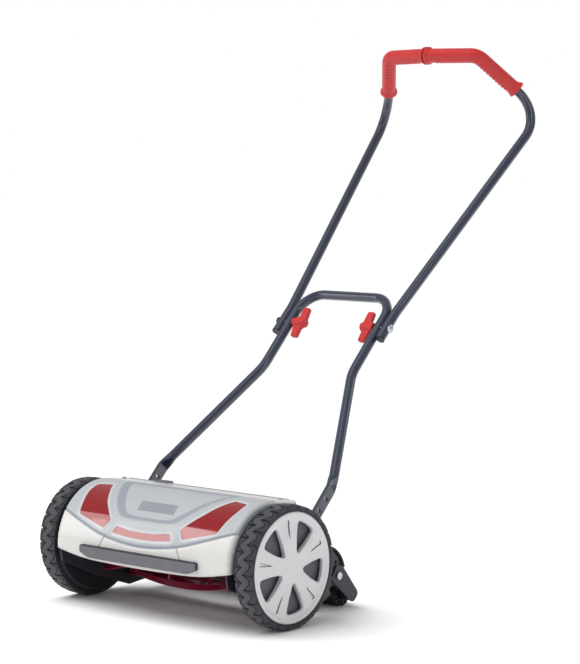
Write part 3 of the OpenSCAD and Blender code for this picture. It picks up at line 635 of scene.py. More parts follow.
def hoodSection():
    # Places and outward directions along the hood's section, for a table by length
    radius, lipRound = hood["radius"], hood["lipRound"]
    end = math.radians(hood["arcEnd"])
    rows = []
    low = hood["lowEdge"][0][1] - 1
    steps = 90
    for i in range(steps + 1):
        v = low + (end * radius - low) * i / steps
        angle = v / radius
        c, s = math.cos(angle), math.sin(angle)
        rows.append((v, -radius * c, radius * s, -c, s))
    v, y, z, _, _ = rows[-1]
    lipY, lipZ = hood["lip"]
    fall = math.atan2(z - lipZ, lipY - y)
    flat = (lipY - lipRound - y) / math.cos(fall)
    rows.append((v + flat, lipY - lipRound, z - flat * math.sin(fall), math.sin(fall), math.cos(fall)))
    v, y, z = rows[-1][:3]
    centreY, centreZ = y - lipRound * math.sin(fall), z - lipRound * math.cos(fall)
    for i in range(1, 7):
        turn = math.pi / 2 - fall - (math.pi / 2 - fall) * i / 6
        rows.append((
            v + lipRound * (math.pi / 2 - fall - turn), centreY + lipRound * math.cos(turn),
            centreZ + lipRound * math.sin(turn), math.cos(turn), math.sin(turn),
        ))
    v, y, z = rows[-1][:3]
    rows.append((v + hood["lipDrop"], y, z - hood["lipDrop"], 1, 0))
    return np.array(rows)


hoodTable = hoodSection()
hoodEnd = hoodTable[-1][0]


def onHood(flat, lift):
    # Puts flat (x, v) points on the hood, raised by lift
    columns = [np.interp(flat[:, 1], hoodTable[:, 0], hoodTable[:, k]) for k in range(1, 5)]
    y, z, ny, nz = columns
    return np.stack([flat[:, 0], axle.y / mm + y + ny * lift, axle.z / mm + z + nz * lift], 1) * mm


def bothLoops(loop):
    return [loop, [(-x, v) for x, v in loop]]


def makeHood():
    step = hood["spacing"] * 0.6
    hair = 0.1   # a band this narrow only guides the mesh
    width, margin = hood["width"], hood["seamMargin"]
    lowLine = smoothLine(mirrored(hood["lowEdge"]), step)
    top = [(width - 2 * width * i / 100, hoodEnd) for i in range(101)]
    sides = [(width, -3 + (hoodEnd + 3) * i / 90) for i in range(1, 90)]
    outline = lowLine + sides + top + [(-x, v) for x, v in reversed(sides)]
    smile = smoothLine(mirrored(hood["smile"]), step)
    smileBand = ribbon(smile, hood["smileWidth"])
    recesses = [smoothLine(mirrored(hood[name]), step) for name in ("recessOuter", "recessInner")]
    panel = roundLoop(hood["panel"], hood["panelRounds"], step)
    panels = bothLoops([tuple(p) for p in panel])
    strip = roundLoop(hood["paleStrip"], hood["stripRound"], step)
    framed = [anticlockwise(loop) for loop in [*panels, strip]]
    frames = [inset(loop, -hood["frameWidth"]) for loop in framed]
    label = roundLoop(hood["label"], hood["labelRound"], step)
    slotBand = ribbon(smoothLine(hood["slot"], step), hood["slotWidth"])
    creases = [ribbon(smoothLine(line, step), hood["creaseWidth"]) for line in bothLoops(hood["crease"])]
    seam = smoothLine([(-width + margin, hood["topSeam"]), (width - margin, hood["topSeam"])], step)
    seamBand = ribbon(seam, hood["creaseWidth"])
    level = hood["paintedReflectionBelow"]
    splits = [ribbon([(x * side, level) for x in hood["paintedReflectionEdge"]], hair) for side in (1, -1)]
    valleys = [ribbon(smile, across) for across in (hair, hood["smileWidth"] / 2)]
    valleys += [ribbon(seam, hair)]
    valleys += [ribbon(smoothLine(line, step), hair) for line in bothLoops(hood["crease"])]
    loops = [smileBand, *recesses, *framed, *frames, label, slotBand, *creases, seamBand, *splits, *valleys]
    flat, triangles, middles = cutSheet(outline, loops, hood["spacing"])
    # Shape: rounded ends, a slight bulge, grooves, the recess and the sunk panels
    x, v = flat[:, 0], flat[:, 1]
    over = np.clip(np.abs(x) - (width - hood["endRound"]), 0, hood["endRound"])
    lift = -(hood["endRound"] - np.sqrt(hood["endRound"] ** 2 - over ** 2))
    front = smoothStep((hood["bulgeEnd"] - v) / hood["bulgeOver"])
    lift += hood["bulge"] * (1 - (x / width) ** 2) * front
    lift -= hood["smileDepth"] * smoothStep(1 - distanceTo(flat, smile, False) / (hood["smileWidth"] / 2))
    lift -= hood["creaseDepth"] * smoothStep(1 - distanceTo(flat, seam, False) / hood["creaseWidth"])
    for line in bothLoops(hood["crease"]):
        lift -= hood["creaseDepth"] * smoothStep(1 - distanceTo(flat, line, False) / hood["creaseWidth"])
    outer, inner = recesses
    insideOuter, insideInner = isInside(flat, outer), isInside(flat, inner)
    toOuter, toInner = distanceTo(flat, outer), distanceTo(flat, inner)
    share = np.where(insideInner, 1, np.where(insideOuter, toOuter / (toOuter + toInner + 1e-6), 0))
    lift -= hood["recessDepth"] * smoothStep(share)
    for loop, rim in zip(framed, frames):
        inside, insideRim = isInside(flat, loop), isInside(flat, rim)
        toRim, toLoop = distanceTo(flat, rim), distanceTo(flat, loop)
        share = np.where(inside, 1, np.where(insideRim, toRim / (toRim + toLoop + 1e-6), 0))
        lift -= hood["panelDepth"] * smoothStep(share)
    vertices = onHood(flat, lift)
    # Colours
    smileV = np.interp(middles[:, 0], np.array(smile)[:, 0], np.array(smile)[:, 1])
    kind = np.where((middles[:, 1] > smileV) & (middles[:, 1] < hood["topSeam"]), 1, 0)
    kind[isInside(middles, outer)] = 2
    kind[isInside(middles, inner)] = 1
    # The smile groove, the slot, the creases and the seam take the deeper grey: painted shade in the grooves
    for band in [smileBand, slotBand, *creases, seamBand]:
        kind[isInside(middles, band)] = 2
    for loop, rim in zip(framed, frames):
        kind[isInside(middles, rim)] = 6
    for loop in framed:
        inside = isInside(middles, loop)
        kind[inside] = 3
        # Below that height the red is painted paler: painted reflection of the bright room
        kind[inside & (middles[:, 1] < level)] = 4
    kind[isInside(middles, label)] = 5
    names = ["mouldedAbsWhite", "silverLacquer", "greyLacquerAndGrooveShade", "redLacquer", "redLacquerPaintedReflection", "labelInk",
             "lightLacquer"]
    piece = makePiece("hoodShell", vertices, triangles.tolist(), names, kind.astype(np.int32), 50)
    wall = piece.modifiers.new("wall", "SOLIDIFY")
    wall.thickness = hood["wall"] * mm
    wall.offset = -1
    wall.material_offset = -len(names)
    applyModifiers(piece)
    handOver(piece, "frame", "hood_plastic", "hood")


cheek = {"deep": 20, "out": 208, "in": 205.5, "start": -2, "steps": 48}


def makeHoodCheeks():
    # End walls that close the gap between the hood and the tyres
    inner, outer = hood["radius"] - cheek["deep"], hood["radius"] - hood["endRound"] + 1
    low, high = math.radians(cheek["start"]), math.radians(hood["arcEnd"])
    steps = cheek["steps"]
    corners = [
        (cheek["out"], outer), (cheek["out"], inner), (cheek["in"], inner), (cheek["in"], outer)
    ]
    vertices, faces = [], []
    for i in range(steps + 1):
        angle = low + (high - low) * i / steps
        c, s = math.cos(angle), math.sin(angle)
        for x, radius in corners:
            vertices.append((x * mm, axle.y - radius * mm * c, axle.z + radius * mm * s))
    for i in range(steps):
        for k in range(4):
            a, b = 4 * i + k, 4 * i + (k + 1) % 4
            faces.append((a, a + 4, b + 4, b))
    faces += [(0, 1, 2, 3), tuple(4 * steps + k for k in (3, 2, 1, 0))]
    bothSides(
        "hoodCheek", vertices, faces, ["greyLacquerAndGrooveShade"], None, ("frame", "frame"), "hood_plastic",
        (None, None),
    )


def makeLipRibs():
    # A row of small ribs along the top of the rear lip
    ribs = {"count": 64, "pitch": 6, "size": (2.4, 5, 1.2), "back": 58, "up": 102}
    sx, sy, sz = (s * mm / 2 for s in ribs["size"])
    vertices = [(x * sx, y * sy, z * sz) for x in (-1, 1) for y in (-1, 1) for z in (-1, 1)]
    piece = makePiece("hoodLipRibs", vertices, boxFaces, ["greyLacquerAndGrooveShade"])
    row = (ribs["count"] - 1) * ribs["pitch"]
    start = (-row / 2 * mm, axle.y + ribs["back"] * mm, axle.z + ribs["up"] * mm)
    repeat(piece, ribs["count"], start, "greyLacquerAndGrooveShade", step=(ribs["pitch"] * mm, 0, 0))
    handOver(piece, "frame", "hood_plastic")


makeHood()
makeHoodCheeks()
makeLipRibs()
print("hood made")

# ---------- bumper ----------
bumper = {
    "outline": [(-139, 10), (139, 10), (139, -3), (118, -11), (-118, -11), (-139, -3)],
    "half": 139, "front": 119, "back": 103, "bow": 2.5, "edge": 2.2, "corner": 4, "darkAbove": 8.6,
}


def makeBumper():
    outline = anticlockwise(roundLoop(bumper["outline"], bumper["corner"], 3))
    edge = bumper["edge"]
    turns = (30, 60, 90)
    loops = [inset(outline, edge * math.sin(math.radians(t))) for t in turns]
    flat, triangles, _ = cutSheet(outline, loops, 6)
    gap = distanceTo(flat, outline)
    drop = edge - np.sqrt(np.clip(edge ** 2 - np.clip(edge - gap, 0, edge) ** 2, 0, None))
    y = -bumper["front"] + bumper["bow"] * (flat[:, 0] / bumper["half"]) ** 2 + drop
    top = [Vector((x * mm, axle.y + d * mm, axle.z + v * mm)) for (x, v), d in zip(flat, y)]
    back = axle.y - bumper["back"] * mm
    vertices, faces, kinds = closeSheet(top, triangles, lambda i, zone: Vector((top[i].x, back, top[i].z)))
    # The upper edge and the end are darker: painted shade, a darker copy of the same rubber
    dark = [
        int(kind > 0 or sum(vertices[i].z for i in face) / len(face) - axle.z > bumper["darkAbove"] * mm)
        for face, kind in zip(faces, kinds)
    ]
    piece = makePiece("bumperStrip", vertices, faces, ["softBumper", "softBumperPaintedShade"], dark, 40)
    handOver(piece, "frame", "bumper_plastic", "bumper_strip")


makeBumper()
print("bumper made")

# ---------- wheels ----------
wheel = {
    "out": 253, "in": 216, "rim": 94, "radius": 105,
    "lugs": 26, "lugHeight": 2.8, "shoulder": 7,
    "dish": 2.5,              # depth of the disc behind the rim's lip; the middle rises to the lip's level
    "under": 5.5, "lipRound": 1.5,
    "windows": 5, "firstWindow": -10.9, "windowTip": 21, "windowOut": 79.5, "windowHalf": 16.2,
    "windowRounds": [8, 60, 7, 200, 7, 60], "windowSide": (49, 13.3),
    "windowEdge": 1.6, "windowDeep": 6.5,
    "mark": {"tip": 46, "end": 81, "half": 3.8, "wall": 0.9, "depth": 1.8, "rounds": [0.5, 3, 3]},
    "rings": (93.4, 92.4, 91, 88.5, 87, 85.5, 83), "spacing": 3.4,     # they guide the mesh
    # Radii where the lip's round, the dish and the dome begin, and how far each takes
    "lipStart": 91, "lipOver": 3, "dishStart": 88.5, "dishOver": 4, "domeStart": 78, "domeOver": 42,
}


def spun(loop, degrees):
    turn = math.radians(degrees)
    c, s = math.cos(turn), math.sin(turn)
    return [(x * c - y * s, x * s + y * c) for x, y in loop]


def circle(radius, step=3):
    return roundSection(radius, round(2 * math.pi * radius / step))


def makeWheelCover():
    step = 1.6
    pitch = 360 / wheel["windows"]
    out, half = wheel["windowOut"], math.radians(wheel["windowHalf"])
    side = wheel["windowSide"]
    corners = [(wheel["windowTip"], 0), (side[0], -side[1])]
    corners += [(out * math.cos(half * k), out * math.sin(half * k)) for k in (-1, 0, 1)] + [side]
    window = anticlockwise(roundLoop(corners, wheel["windowRounds"], step))
    mark = wheel["mark"]
    wedge = [(mark["tip"], 0), (mark["end"], -mark["half"]), (mark["end"], mark["half"])]
    wedge = anticlockwise(roundLoop(wedge, mark["rounds"], step))
    angles = [wheel["firstWindow"] + i * pitch for i in range(wheel["windows"])]
    windows = [spun(window, a) for a in angles]
    brims = [spun(inset(window, -wheel["windowEdge"]), a) for a in angles]
    wedges = [spun(wedge, a + pitch / 2) for a in angles]
    floors = [spun(inset(wedge, mark["wall"]), a + pitch / 2) for a in angles]
    rings = [circle(r) for r in wheel["rings"]]
    loops = [*rings, *brims, *wedges, *floors]
    flat, triangles, middles = cutSheet(circle(wheel["rim"]), loops, wheel["spacing"], windows)
    radius = np.linalg.norm(flat, axis=1)
    dish = smoothStep((wheel["dishStart"] - radius) / wheel["dishOver"])
    dome = smoothStep((wheel["domeStart"] - radius) / wheel["domeOver"])
    height = -wheel["dish"] * (dish - dome)
    height -= wheel["lipRound"] * np.clip((radius - wheel["lipStart"]) / wheel["lipOver"], 0, 1) ** 2
    edge = wheel["windowEdge"]
    nearWindow = np.min([distanceTo(flat, loop) for loop in windows], axis=0)
    height -= edge - np.sqrt(np.clip(edge ** 2 - np.clip(edge - nearWindow, 0, edge) ** 2, 0, None))
    for loop in wedges:
        inside = isInside(flat, loop)
        height -= inside * mark["depth"] * np.clip(distanceTo(flat, loop) / mark["wall"], 0, 1)
    top = [
        Vector(((wheel["out"] + h) * mm, axle.y + y * mm, axle.z + z * mm)) for (y, z), h in zip(flat, height)
    ]
    inBrim = np.any([isInside(middles, loop) for loop in brims], axis=0).astype(int)
    depths = [wheel["under"], wheel["dish"] + wheel["windowDeep"]]

    def lowered(i, zone):
        return Vector(((wheel["out"] - depths[zone]) * mm, top[i].y, top[i].z))

    vertices, faces, kinds = closeSheet(top, triangles, lowered, inBrim)
    # The walls of the wedge marks are painted the dark grey: painted shade
    onWall = [isInside(middles, wide) & ~isInside(middles, floor) for wide, floor in zip(wedges, floors)]
    topKinds = iter(np.any(onWall, axis=0))
    finish = [int(next(topKinds)) if kind == 0 else 0 for kind in kinds]
    bothSides(
        "wheelCover", vertices, faces, ["flakeSilver", "wheelPolypropyleneAndWallShade"], finish,
        ("wheel_right", "wheel_left"), "wheel_silver", ("wheel_cover_right", "wheel_cover_left"), 40,
    )
    print("wheel covers made")


def makeTyreCarcass():
    half = (wheel["out"] - wheel["in"]) / 2
    crown = wheel["radius"] - wheel["lugHeight"]
    shoulder = wheel["shoulder"]
    profile = [(-half, wheel["rim"])]
    for i in range(7):
        turn = math.radians(90 * i / 6)
        across = -half + shoulder * (1 - math.cos(turn)) * 0.7
        profile.append((across, crown - shoulder * 0.8 * (1 - math.sin(turn))))
    profile += [(-x, r) for x, r in reversed(profile)]
    centre = Vector(((wheel["out"] + wheel["in"]) / 2 * mm, axle.y, axle.z))
    vertices, faces = turnProfile([(x * mm, r * mm) for x, r in profile], centre, 112)
    bothSides(
        "tyreCarcass", vertices, faces, ["sidewallRubber"], None,
        ("wheel_right", "wheel_left"), "tyre_rubber", ("tyre_right", "tyre_left"),
    )


# The tread laid flat: a groove on each side of the middle runs to and fro once in every pitch
tread = {
    "groove": [(0, 1), (0.08, 5), (0.2, 11), (0.34, 15), (0.55, 14), (0.75, 9), (1, 1)],
    "grooveWidth": 2.6, "edge": 18, "gap": 2.4,
    "root": 6,                # how deep a block stands in the tyre
    "soft": 0.9, "softDrop": 0.8, "fall": 1.6,
    "seam": 0.3,              # the band's edge stays at full height this near to the next pitch
    "finOut": 0.4,
}


def makeTread():
    pitch = 2 * math.pi * wheel["radius"] / wheel["lugs"]
    middle = (wheel["out"] + wheel["in"]) / 2
    line = [(share * pitch, across) for share, across in tread["groove"]]
    line = [tuple(p) for p in smoothLine(line, 1.5)]
    half = tread["grooveWidth"] / 2
    lift = pitch / 2
    # The other side is the same, turned round by half a turn and moved on by half a pitch
    other = [((lift - x) % pitch, -across) for x, across in line]
    other = sorted(other[:-1])
    other = [(0, other[0][1])] + [p for p in other if 0.4 < p[0] < pitch - 0.4] + [(pitch, other[0][1])]
    band = [(x, a + half) for x, a in other] + [(x, a - half) for x, a in reversed(line)]
    edge, gap = tread["edge"], tread["gap"] / 2
    fin = [(x, min(a + half, edge - 1)) for x, a in line if gap <= x <= pitch - gap]
    fin += [(pitch - gap, edge), (pitch * 0.66, edge + tread["finOut"]),
            (pitch * 0.33, edge + tread["finOut"]), (gap, edge)]
    back = [(lift - x, -a) for x, a in fin]

    def wrapped(along, across, radius):
        # The crown falls away towards the shoulders
        radius -= tread["fall"] * (abs(across) / edge) ** 2.5
        angle = along / wheel["radius"]
        return (across * mm, radius * mm * math.cos(angle), radius * mm * math.sin(angle))

    top, root = wheel["radius"], wheel["radius"] - tread["root"]
    for name, outlines, rubber in (("Crown", (band,), "treadRubber"), ("Lugs", (fin, back), "lugRubber")):
        vertices, faces = [], []
        for outline in outlines:
            outline = anticlockwise(outline)
            flat, triangles, _ = cutSheet(outline, [], 3)
            soft = np.clip(1 - distanceTo(flat, outline) / tread["soft"], 0, 1)
            if outlines[0] is band:
                # Neighbouring pitches of the band meet without a dip
                soft[(flat[:, 0] < tread["seam"]) | (flat[:, 0] > pitch - tread["seam"])] *= 0
            heights = [top - tread["softDrop"] * g ** 2 for g in soft]
            lifted = [Vector(wrapped(x, a, height)) for (x, a), height in zip(flat, heights)]
            # The first direction runs round the wheel, so the triangles turn the other way
            turned = [tuple(int(i) for i in reversed(t)) for t in triangles]
            points, polygons, _ = closeSheet(lifted, turned, lambda i, zone: Vector(wrapped(*flat[i], root)))
            first = len(vertices)
            vertices += points
            faces += [tuple(i + first for i in face) for face in polygons]
        for side, sign in (("Right", 1), ("Left", -1)):
            # Both tyres are alike: the left one is the right one turned about the upright axis
            points = [(sign * (x + middle * mm), sign * y, z) for x, y, z in vertices]
            piece = makePiece("tyre" + name + side, points, faces, [rubber], None, 40)
            repeat(piece, wheel["lugs"], axle, rubber, turn=2 * math.pi / wheel["lugs"])
            handOver(piece, "wheel_" + side.lower(), "tyre_rubber")
    print("tyres made")


makeWheelCover()
makeTyreCarcass()
makeTread()

# ---------- handle ----------
handle = {
    "tube": 9,                # radius
    "lowerSlope": 46.6, "upperSlope": 45.2, "gripSlope": 131.7,
    "flatX": 202.8, "flatHalf": 2.5, "flatWidth": 12.5,
    "lowerCorners": [(202.8, -12.5), (202.8, 76), (195, 101), (106.5, 321), (106.5, 497)],
    "lowerRadii": [0, 25, 40, 80, 45],
    "holes": [(0, 4.05), (28, 3.25), (54, 3.25)],   # place up the slope and radius
    "flatEnd": 84, "roundBy": 116, "dent": 98, "dentDepth": 3, "dentWidth": 8,
    "upperX": 125, "stub": 24, "flareAt": 38, "apexX": 188, "upperLength": 547,
    "gripX": 107, "gripBack": 146, "barBow": (-18, 1),
    "upperRadii": [0, 80, 62, 28, 150],
    "gripLength": 99, "grip": 13.5, "gripFlare": 18,
}


def onSlope(x, s):
    slope = math.radians(handle["lowerSlope"])
    return Vector((x * mm, handleBolt.y + s * mm * math.cos(slope), handleBolt.z + s * mm * math.sin(slope)))


def along(degrees):
    return Vector((0, math.cos(math.radians(degrees)), math.sin(math.radians(degrees))))


def upperCorners():
    # The right side's corners, from the lower end to the middle of the bar
    up, back = along(handle["upperSlope"]), along(handle["gripSlope"])
    fold = Vector((0, foldBolt.y, foldBolt.z))
    apex = fold + up * handle["upperLength"] * mm
    corner = apex + back * handle["gripBack"] * mm
    bow = Vector((0, *handle["barBow"])) * mm
    sideways = [handle[name] * mm for name in ("upperX", "upperX", "apexX", "gripX")]
    places = [fold - up * handle["stub"] * mm, fold + up * handle["flareAt"] * mm, apex, corner]
    return [Vector((x, p.y, p.z)) for x, p in zip(sideways, places)] + [corner + bow]


def flipped(points):
    return [Vector((-p.x, p.y, p.z)) for p in reversed(points)]


def superEllipse(a, b, power, count=28):
    outline = []
    for i in range(count):
        turn = 2 * math.pi * i / count
        c, s = math.cos(turn), math.sin(turn)
        outline.append((
            a * math.copysign(abs(c) ** (2 / power), c), b * math.copysign(abs(s) ** (2 / power), s)
        ))
    return outline


def rod(centre, radius, reach, count=32):
    # A solid cylinder along X
    ring = roundSection(radius, count)
    vertices = [(centre.x + x, centre.y + y, centre.z + z) for x in (-reach, reach) for y, z in ring]
    faces = [tuple(reversed(range(count))), tuple(range(count, 2 * count))]
    faces += [(i, (i + 1) % count, count + (i + 1) % count, count + i) for i in range(count)]
    return vertices, faces


def makeLowerHandle():
    corners = [onSlope(x, s) for x, s in handle["lowerCorners"]]
    corners += flipped(corners)
    radii = [r * mm for r in handle["lowerRadii"]]
    radii += radii[::-1]
    path = resample(roundPath(corners, radii, 4), 0.004)
    # More rings where the rounded end and the flattened stretch change shape
    inner = 0.18
    finer = resample([p for p in path if p.x > inner], 0.0015)
    path = finer + [p for p in path if abs(p.x) <= inner] + flipped(finer)
    total = sum((b - a).length for a, b in zip(path, path[1:]))
    wide, thin, tube = handle["flatWidth"], handle["flatHalf"], handle["tube"]

    def section(length):
        s = min(length, total - length) / mm
        swelling = float(smoothStep((s - handle["flatEnd"]) / (handle["roundBy"] - handle["flatEnd"])))
        width = wide + (tube - wide) * swelling
        if s < wide:
            width = math.sqrt(max(wide ** 2 - (wide - s) ** 2, 0.6))
        thick = thin + (tube - thin) * swelling
        # A crease pressed into the tube's mouth
        dent = handle["dentDepth"] * math.exp(-((s - handle["dent"]) / handle["dentWidth"]) ** 2)
        outline = superEllipse(thick, width, 6 - 4 * swelling)
        return [
            ((a - dent * max(0, a / thick) * max(0, 1 - abs(b) / width) ** 0.7) * mm, b * mm)
            for a, b in outline
        ]

    side = Vector((1, 0, 0))
    vertices, faces = sweep(path, section, side)
    piece = makePiece("lowerHandleTube", vertices, faces, ["blueGreyEnamel"], None, 40)
    drills = []
    reach = 0.01
    for x, (place, radius) in ((x, hole) for x in (-1, 1) for hole in handle["holes"]):
        drillVertices, drillFaces = rod(onSlope(x * handle["flatX"], place), radius * mm, reach)
        drill = makePiece("drill", drillVertices, drillFaces, ["blueGreyEnamel"])
        cut = piece.modifiers.new("hole", "BOOLEAN")
        cut.operation = "DIFFERENCE"
        cut.object = drill
        drills.append(drill)
    applyModifiers(piece)
    for drill in drills:
        bpy.data.objects.remove(drill)
    handOver(piece, "lower_handle", "handle_paint", "lower_handle")


def makeUpperHandle():
    half = upperCorners()
    corners = half + flipped(half[:-1])
    radii = [r * mm for r in handle["upperRadii"]]
    radii += radii[:-1][::-1]
    path = resample(roundPath(corners, radii, 4), 0.02)
    tube = handle["tube"] * mm
    vertices, faces = sweep(path, lambda length: roundSection(tube), Vector((1, 0, 0)))
    piece = makePiece("upperHandleTube", vertices, faces, ["blueGreyEnamel"], None, 40)
    handOver(piece, "upper_handle", "handle_paint", "upper_handle")


def makeGrips():
    half = upperCorners()
    out = (half[2] - half[3]).normalized()
    end = half[3] + out * handle["gripLength"] * mm
    other = Vector((-half[3].x, half[3].y, half[3].z))
    radii = [0, handle["upperRadii"][3] * mm, handle["upperRadii"][4] * mm, 0]
    path = [p for p in resample(roundPath([end, half[3], half[4], other], radii, 3), 0.0013) if p.x > 0.0004]
    path = [end + out * 2 * mm] + path
    total = sum((b - a).length for a, b in zip(path, path[1:])) / mm
    grip, flare = handle["grip"], handle["gripFlare"]
    ribs = {"pitch": 7.5, "depth": 1.3, "ends": 16}
    count = 40

    def section(length):
        s = length / mm
        endFlare = float(smoothStep((11 - s) / 9))
        middleFlare = float(smoothStep((s - total + 10) / 7))
        ribbed = float(smoothStep((s - ribs["ends"]) / 6) * smoothStep((total - ribs["ends"] - s) / 6))
        wave = abs(math.sin(math.pi * s / ribs["pitch"]))
        outline = []
        for i in range(count):
            turn = 2 * math.pi * i / count
            # The ribs lie underneath, where the fingers close
            under = float(smoothStep((-math.sin(turn) - 0.5) / 0.35))
            # The flare stands out most on top
            radius = grip + (flare - grip) * endFlare * (0.72 + 0.28 * math.sin(turn))
            radius += (flare - 1 - grip) * middleFlare
            radius += ribs["depth"] * ribbed * under * wave
            outline.append((radius * math.cos(turn) * mm, radius * math.sin(turn) * mm))
        return outline

    # Start with a sideways direction at right angles to the tangent, so that +across points up
    tangent = (path[1] - path[0]).normalized()
    side = tangent.cross(Vector((0, 0, 1))).normalized()
    if tangent.cross(side).z < 0:
        side = -side
    vertices, faces = sweep(path, section, side)
    bothSides(
        "grip", vertices, faces, ["coralTpe"], None, ("upper_handle", "upper_handle"), "grip_red",
        ("grip_right", "grip_left"), 60,
    )


wingNut = {
    "face": 97.2, "length": 29, "hub": 9, "thick": 8.5, "bore": 4.1, "lean": 54.6, "voxel": 0.9,
    "wings": [(9, -31), (23, -31), (23, -12), (28, -7), (28, 9), (26, 31), (12, 31), (11, 12),
              (5, 7), (5, -9)],
}


def makeWingNuts():
    centre = Vector((0, foldBolt.y, foldBolt.z))
    face, end = wingNut["face"] * mm, (wingNut["face"] - wingNut["length"]) * mm
    hub = wingNut["hub"] * mm
    middle = 0.0001
    profile = [(end, middle), (end, hub * 0.94), (face, hub), (face, middle)]
    vertices, faces = turnProfile(profile, centre, 40)
    turn = Matrix.Rotation(math.radians(wingNut["lean"]), 3, "X")
    loop = roundLoop([(wingNut["face"] - x, w) for x, w in wingNut["wings"]], 3, 2)
    count, first = len(loop), len(vertices)
    for lift in (-0.5, 0.5):
        for x, w in loop:
            vertices.append(centre + turn @ Vector((x * mm, w * mm, lift * wingNut["thick"] * mm)))
    faces.append(tuple(first + i for i in range(count)))
    faces.append(tuple(first + count + i for i in reversed(range(count))))
    faces += [
        (first + i, first + count + i, first + count + (i + 1) % count, first + (i + 1) % count)
        for i in range(count)
    ]
    reach, bore = wingNut["length"] * mm, wingNut["bore"] * mm
    profile = [
        (end - reach, 2 * middle), (end - reach, bore), (face + reach, bore), (face + reach, 2 * middle)
    ]
    drillVertices, drillFaces = turnProfile(profile, centre, 32)
    for side in ("Right", "Left"):
        if side == "Left":
            vertices, faces = mirrorX(vertices, faces)
            drillVertices, drillFaces = mirrorX(drillVertices, drillFaces)
        piece = makePiece("wingNut" + side, vertices, faces, ["coralTpe"])
        skin = piece.modifiers.new("skin", "REMESH")
        skin.mode = "VOXEL"
        skin.voxel_size = wingNut["voxel"] * mm
        skin.use_smooth_shade = True
        soft = piece.modifiers.new("soft", "SMOOTH")
        soft.iterations = 5
        drill = makePiece("drill", drillVertices, drillFaces, ["coralTpe"])
        cut = piece.modifiers.new("bore", "BOOLEAN")
        cut.operation = "DIFFERENCE"
        cut.object = drill
        applyModifiers(piece)
        bpy.data.objects.remove(drill)
        piece.data.shade_smooth()
        piece.data.set_sharp_from_angle(angle=math.radians(50))
        node = "wing_nut_" + side.lower()
        handOver(piece, node, "grip_red", node)


makeLowerHandle()
makeUpperHandle()
makeGrips()
makeWingNuts()
print("handle made")

# ---------- reel ----------
reel = {
    "blades": 5, "radius": 60, "depth": 12, "thick": 2.6, "length": 374, "twist": 92, "lowest": -85,
    "edge": 0.5, "bevel": (0.2, 0.3),
}


def makeBlades():
    steps = 72
    for number in range(reel["blades"]):
        vertices, faces = [], []
        for i in range(steps + 1):
            x = -reel["length"] / 2 + reel["length"] * i / steps
            turn = math.radians(
                -90 - (x - reel["lowest"]) / reel["length"] * reel["twist"] + number * 360 / reel["blades"]
            )
            radial = Vector((0, math.cos(turn), math.sin(turn)))
            across = Vector((0, -math.sin(turn), math.cos(turn)))
            centre = reelAxis + Vector((x * mm, 0, 0))
            half, edge = reel["thick"] / 2, reel["edge"]
            down, back = reel["bevel"]
            outer, inner = reel["radius"], reel["radius"] - reel["depth"]
            for r, a in (
                (inner, -half + edge), (inner, half - edge), (inner + edge, half), (outer - down, half),
                (outer, half - back), (outer, edge - half), (outer - edge, -half), (inner + edge, -half),
            ):
                vertices.append(centre + radial * r * mm + across * a * mm)
        for i in range(steps):
            for k in range(8):
                a, b = 8 * i + k, 8 * i + (k + 1) % 8
                faces.append((a, b, b + 8, a + 8))
        faces += [tuple(reversed(range(8))), tuple(8 * steps + k for k in range(8))]
        name = f"reel_blade_{number + 1}"
        piece = makePiece(f"reelBlade{number + 1}", vertices, faces, ["darkRedEnamel"], None, 40)
        handOver(piece, "reel", "reel_paint", name)
    print("reel made")


makeBlades()

# ---------- roller ----------
roller = {
    "half": 172, "radius": 20.6, "ribs": 12, "groove": 1.2, "pitch": 43,
    "ribSize": (2.5, 11, 1.6), "ribLow": 9, "ribOut": 4,
}


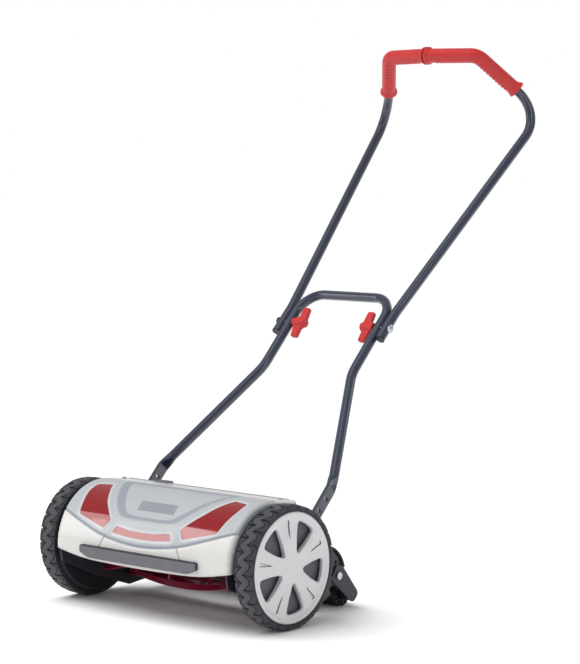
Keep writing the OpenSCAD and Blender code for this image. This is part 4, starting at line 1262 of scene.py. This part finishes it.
def makeRoller():
    # A drum with shallow grooves; the ribs of its end caps are made in makeRollerRibs
    half, radius = roller["half"], roller["radius"]
    deep = radius - roller["groove"]
    profile = [(-half, radius - 3), (-half, radius - 1), (-half + 1, radius)]
    x = -half + roller["pitch"]
    while x < half - 1:
        profile += [(x - 2, radius), (x - 1, deep), (x + 1, deep), (x + 2, radius)]
        x += roller["pitch"]
    profile += [(half - 1, radius), (half, radius - 1), (half, radius - 3)]
    vertices, faces = turnProfile([(x * mm, r * mm) for x, r in profile], rollerAxis, 56)
    piece = makePiece("rollerDrum", vertices, faces, ["blackPolypropylene"])
    handOver(piece, "roller", "black_plastic", "rear_roller")


def makeRollerRibs():
    # Radial ribs on the outer face of an end cap
    size, low = roller["ribSize"], roller["ribLow"]
    vertices = [
        (x * size[0] * mm, (low + (y + 1) / 2 * size[1]) * mm, z * size[2] / 2 * mm)
        for x in (0, 1) for y in (-1, 1) for z in (-1, 1)
    ]
    for side, sign in (("Right", 1), ("Left", -1)):
        points, polygons = (vertices, boxFaces) if sign > 0 else mirrorX(vertices, boxFaces)
        piece = makePiece("rollerRibs" + side, points, polygons, ["blackPolypropylene"])
        centre = Vector((sign * (roller["half"] + roller["ribOut"]) * mm, rollerAxis.y, rollerAxis.z))
        repeat(piece, roller["ribs"], centre, "blackPolypropylene", turn=2 * math.pi / roller["ribs"])
        handOver(piece, "roller", "black_plastic")


makeRoller()
makeRollerRibs()
print("roller made")

# ---------- CAD pieces that keep their shape ----------
# The side plates, roller arms and roller axle take the darkened powder coat: painted shade
paint("powderCoatSteelAndPaintedShade", "side_plate_left", "side_plate_right", "roller_arm_left", "roller_arm_right",
      "roller_axle")
paint("zincPlate", "tie_rods", "hood_screws", "axle_left", "axle_right", "wheel_clips", "handle_bolts",
      "arm_bolts", "bed_pivot_screws", "knife_screws", "reel_clips", "fold_bolts", "drive_key_left",
      "drive_key_right")
paint("greyNylon", "handle_clip")
paint("blackPolypropylene", "rear_guard", "gear_cover_left", "gear_cover_right", "roller_cap_left",
      "roller_cap_right", "tube_plugs")
paint("sinteredBronze", "bearing_left", "bearing_right")
paint("darkRedEnamel", "bed_bar", "bed_knife", "reel_spiders")
paint("wheelPolypropyleneAndWallShade", "wheel_body_left", "wheel_body_right")
paint("machinedSteel", "pinion_left", "pinion_right", "reel_shaft")
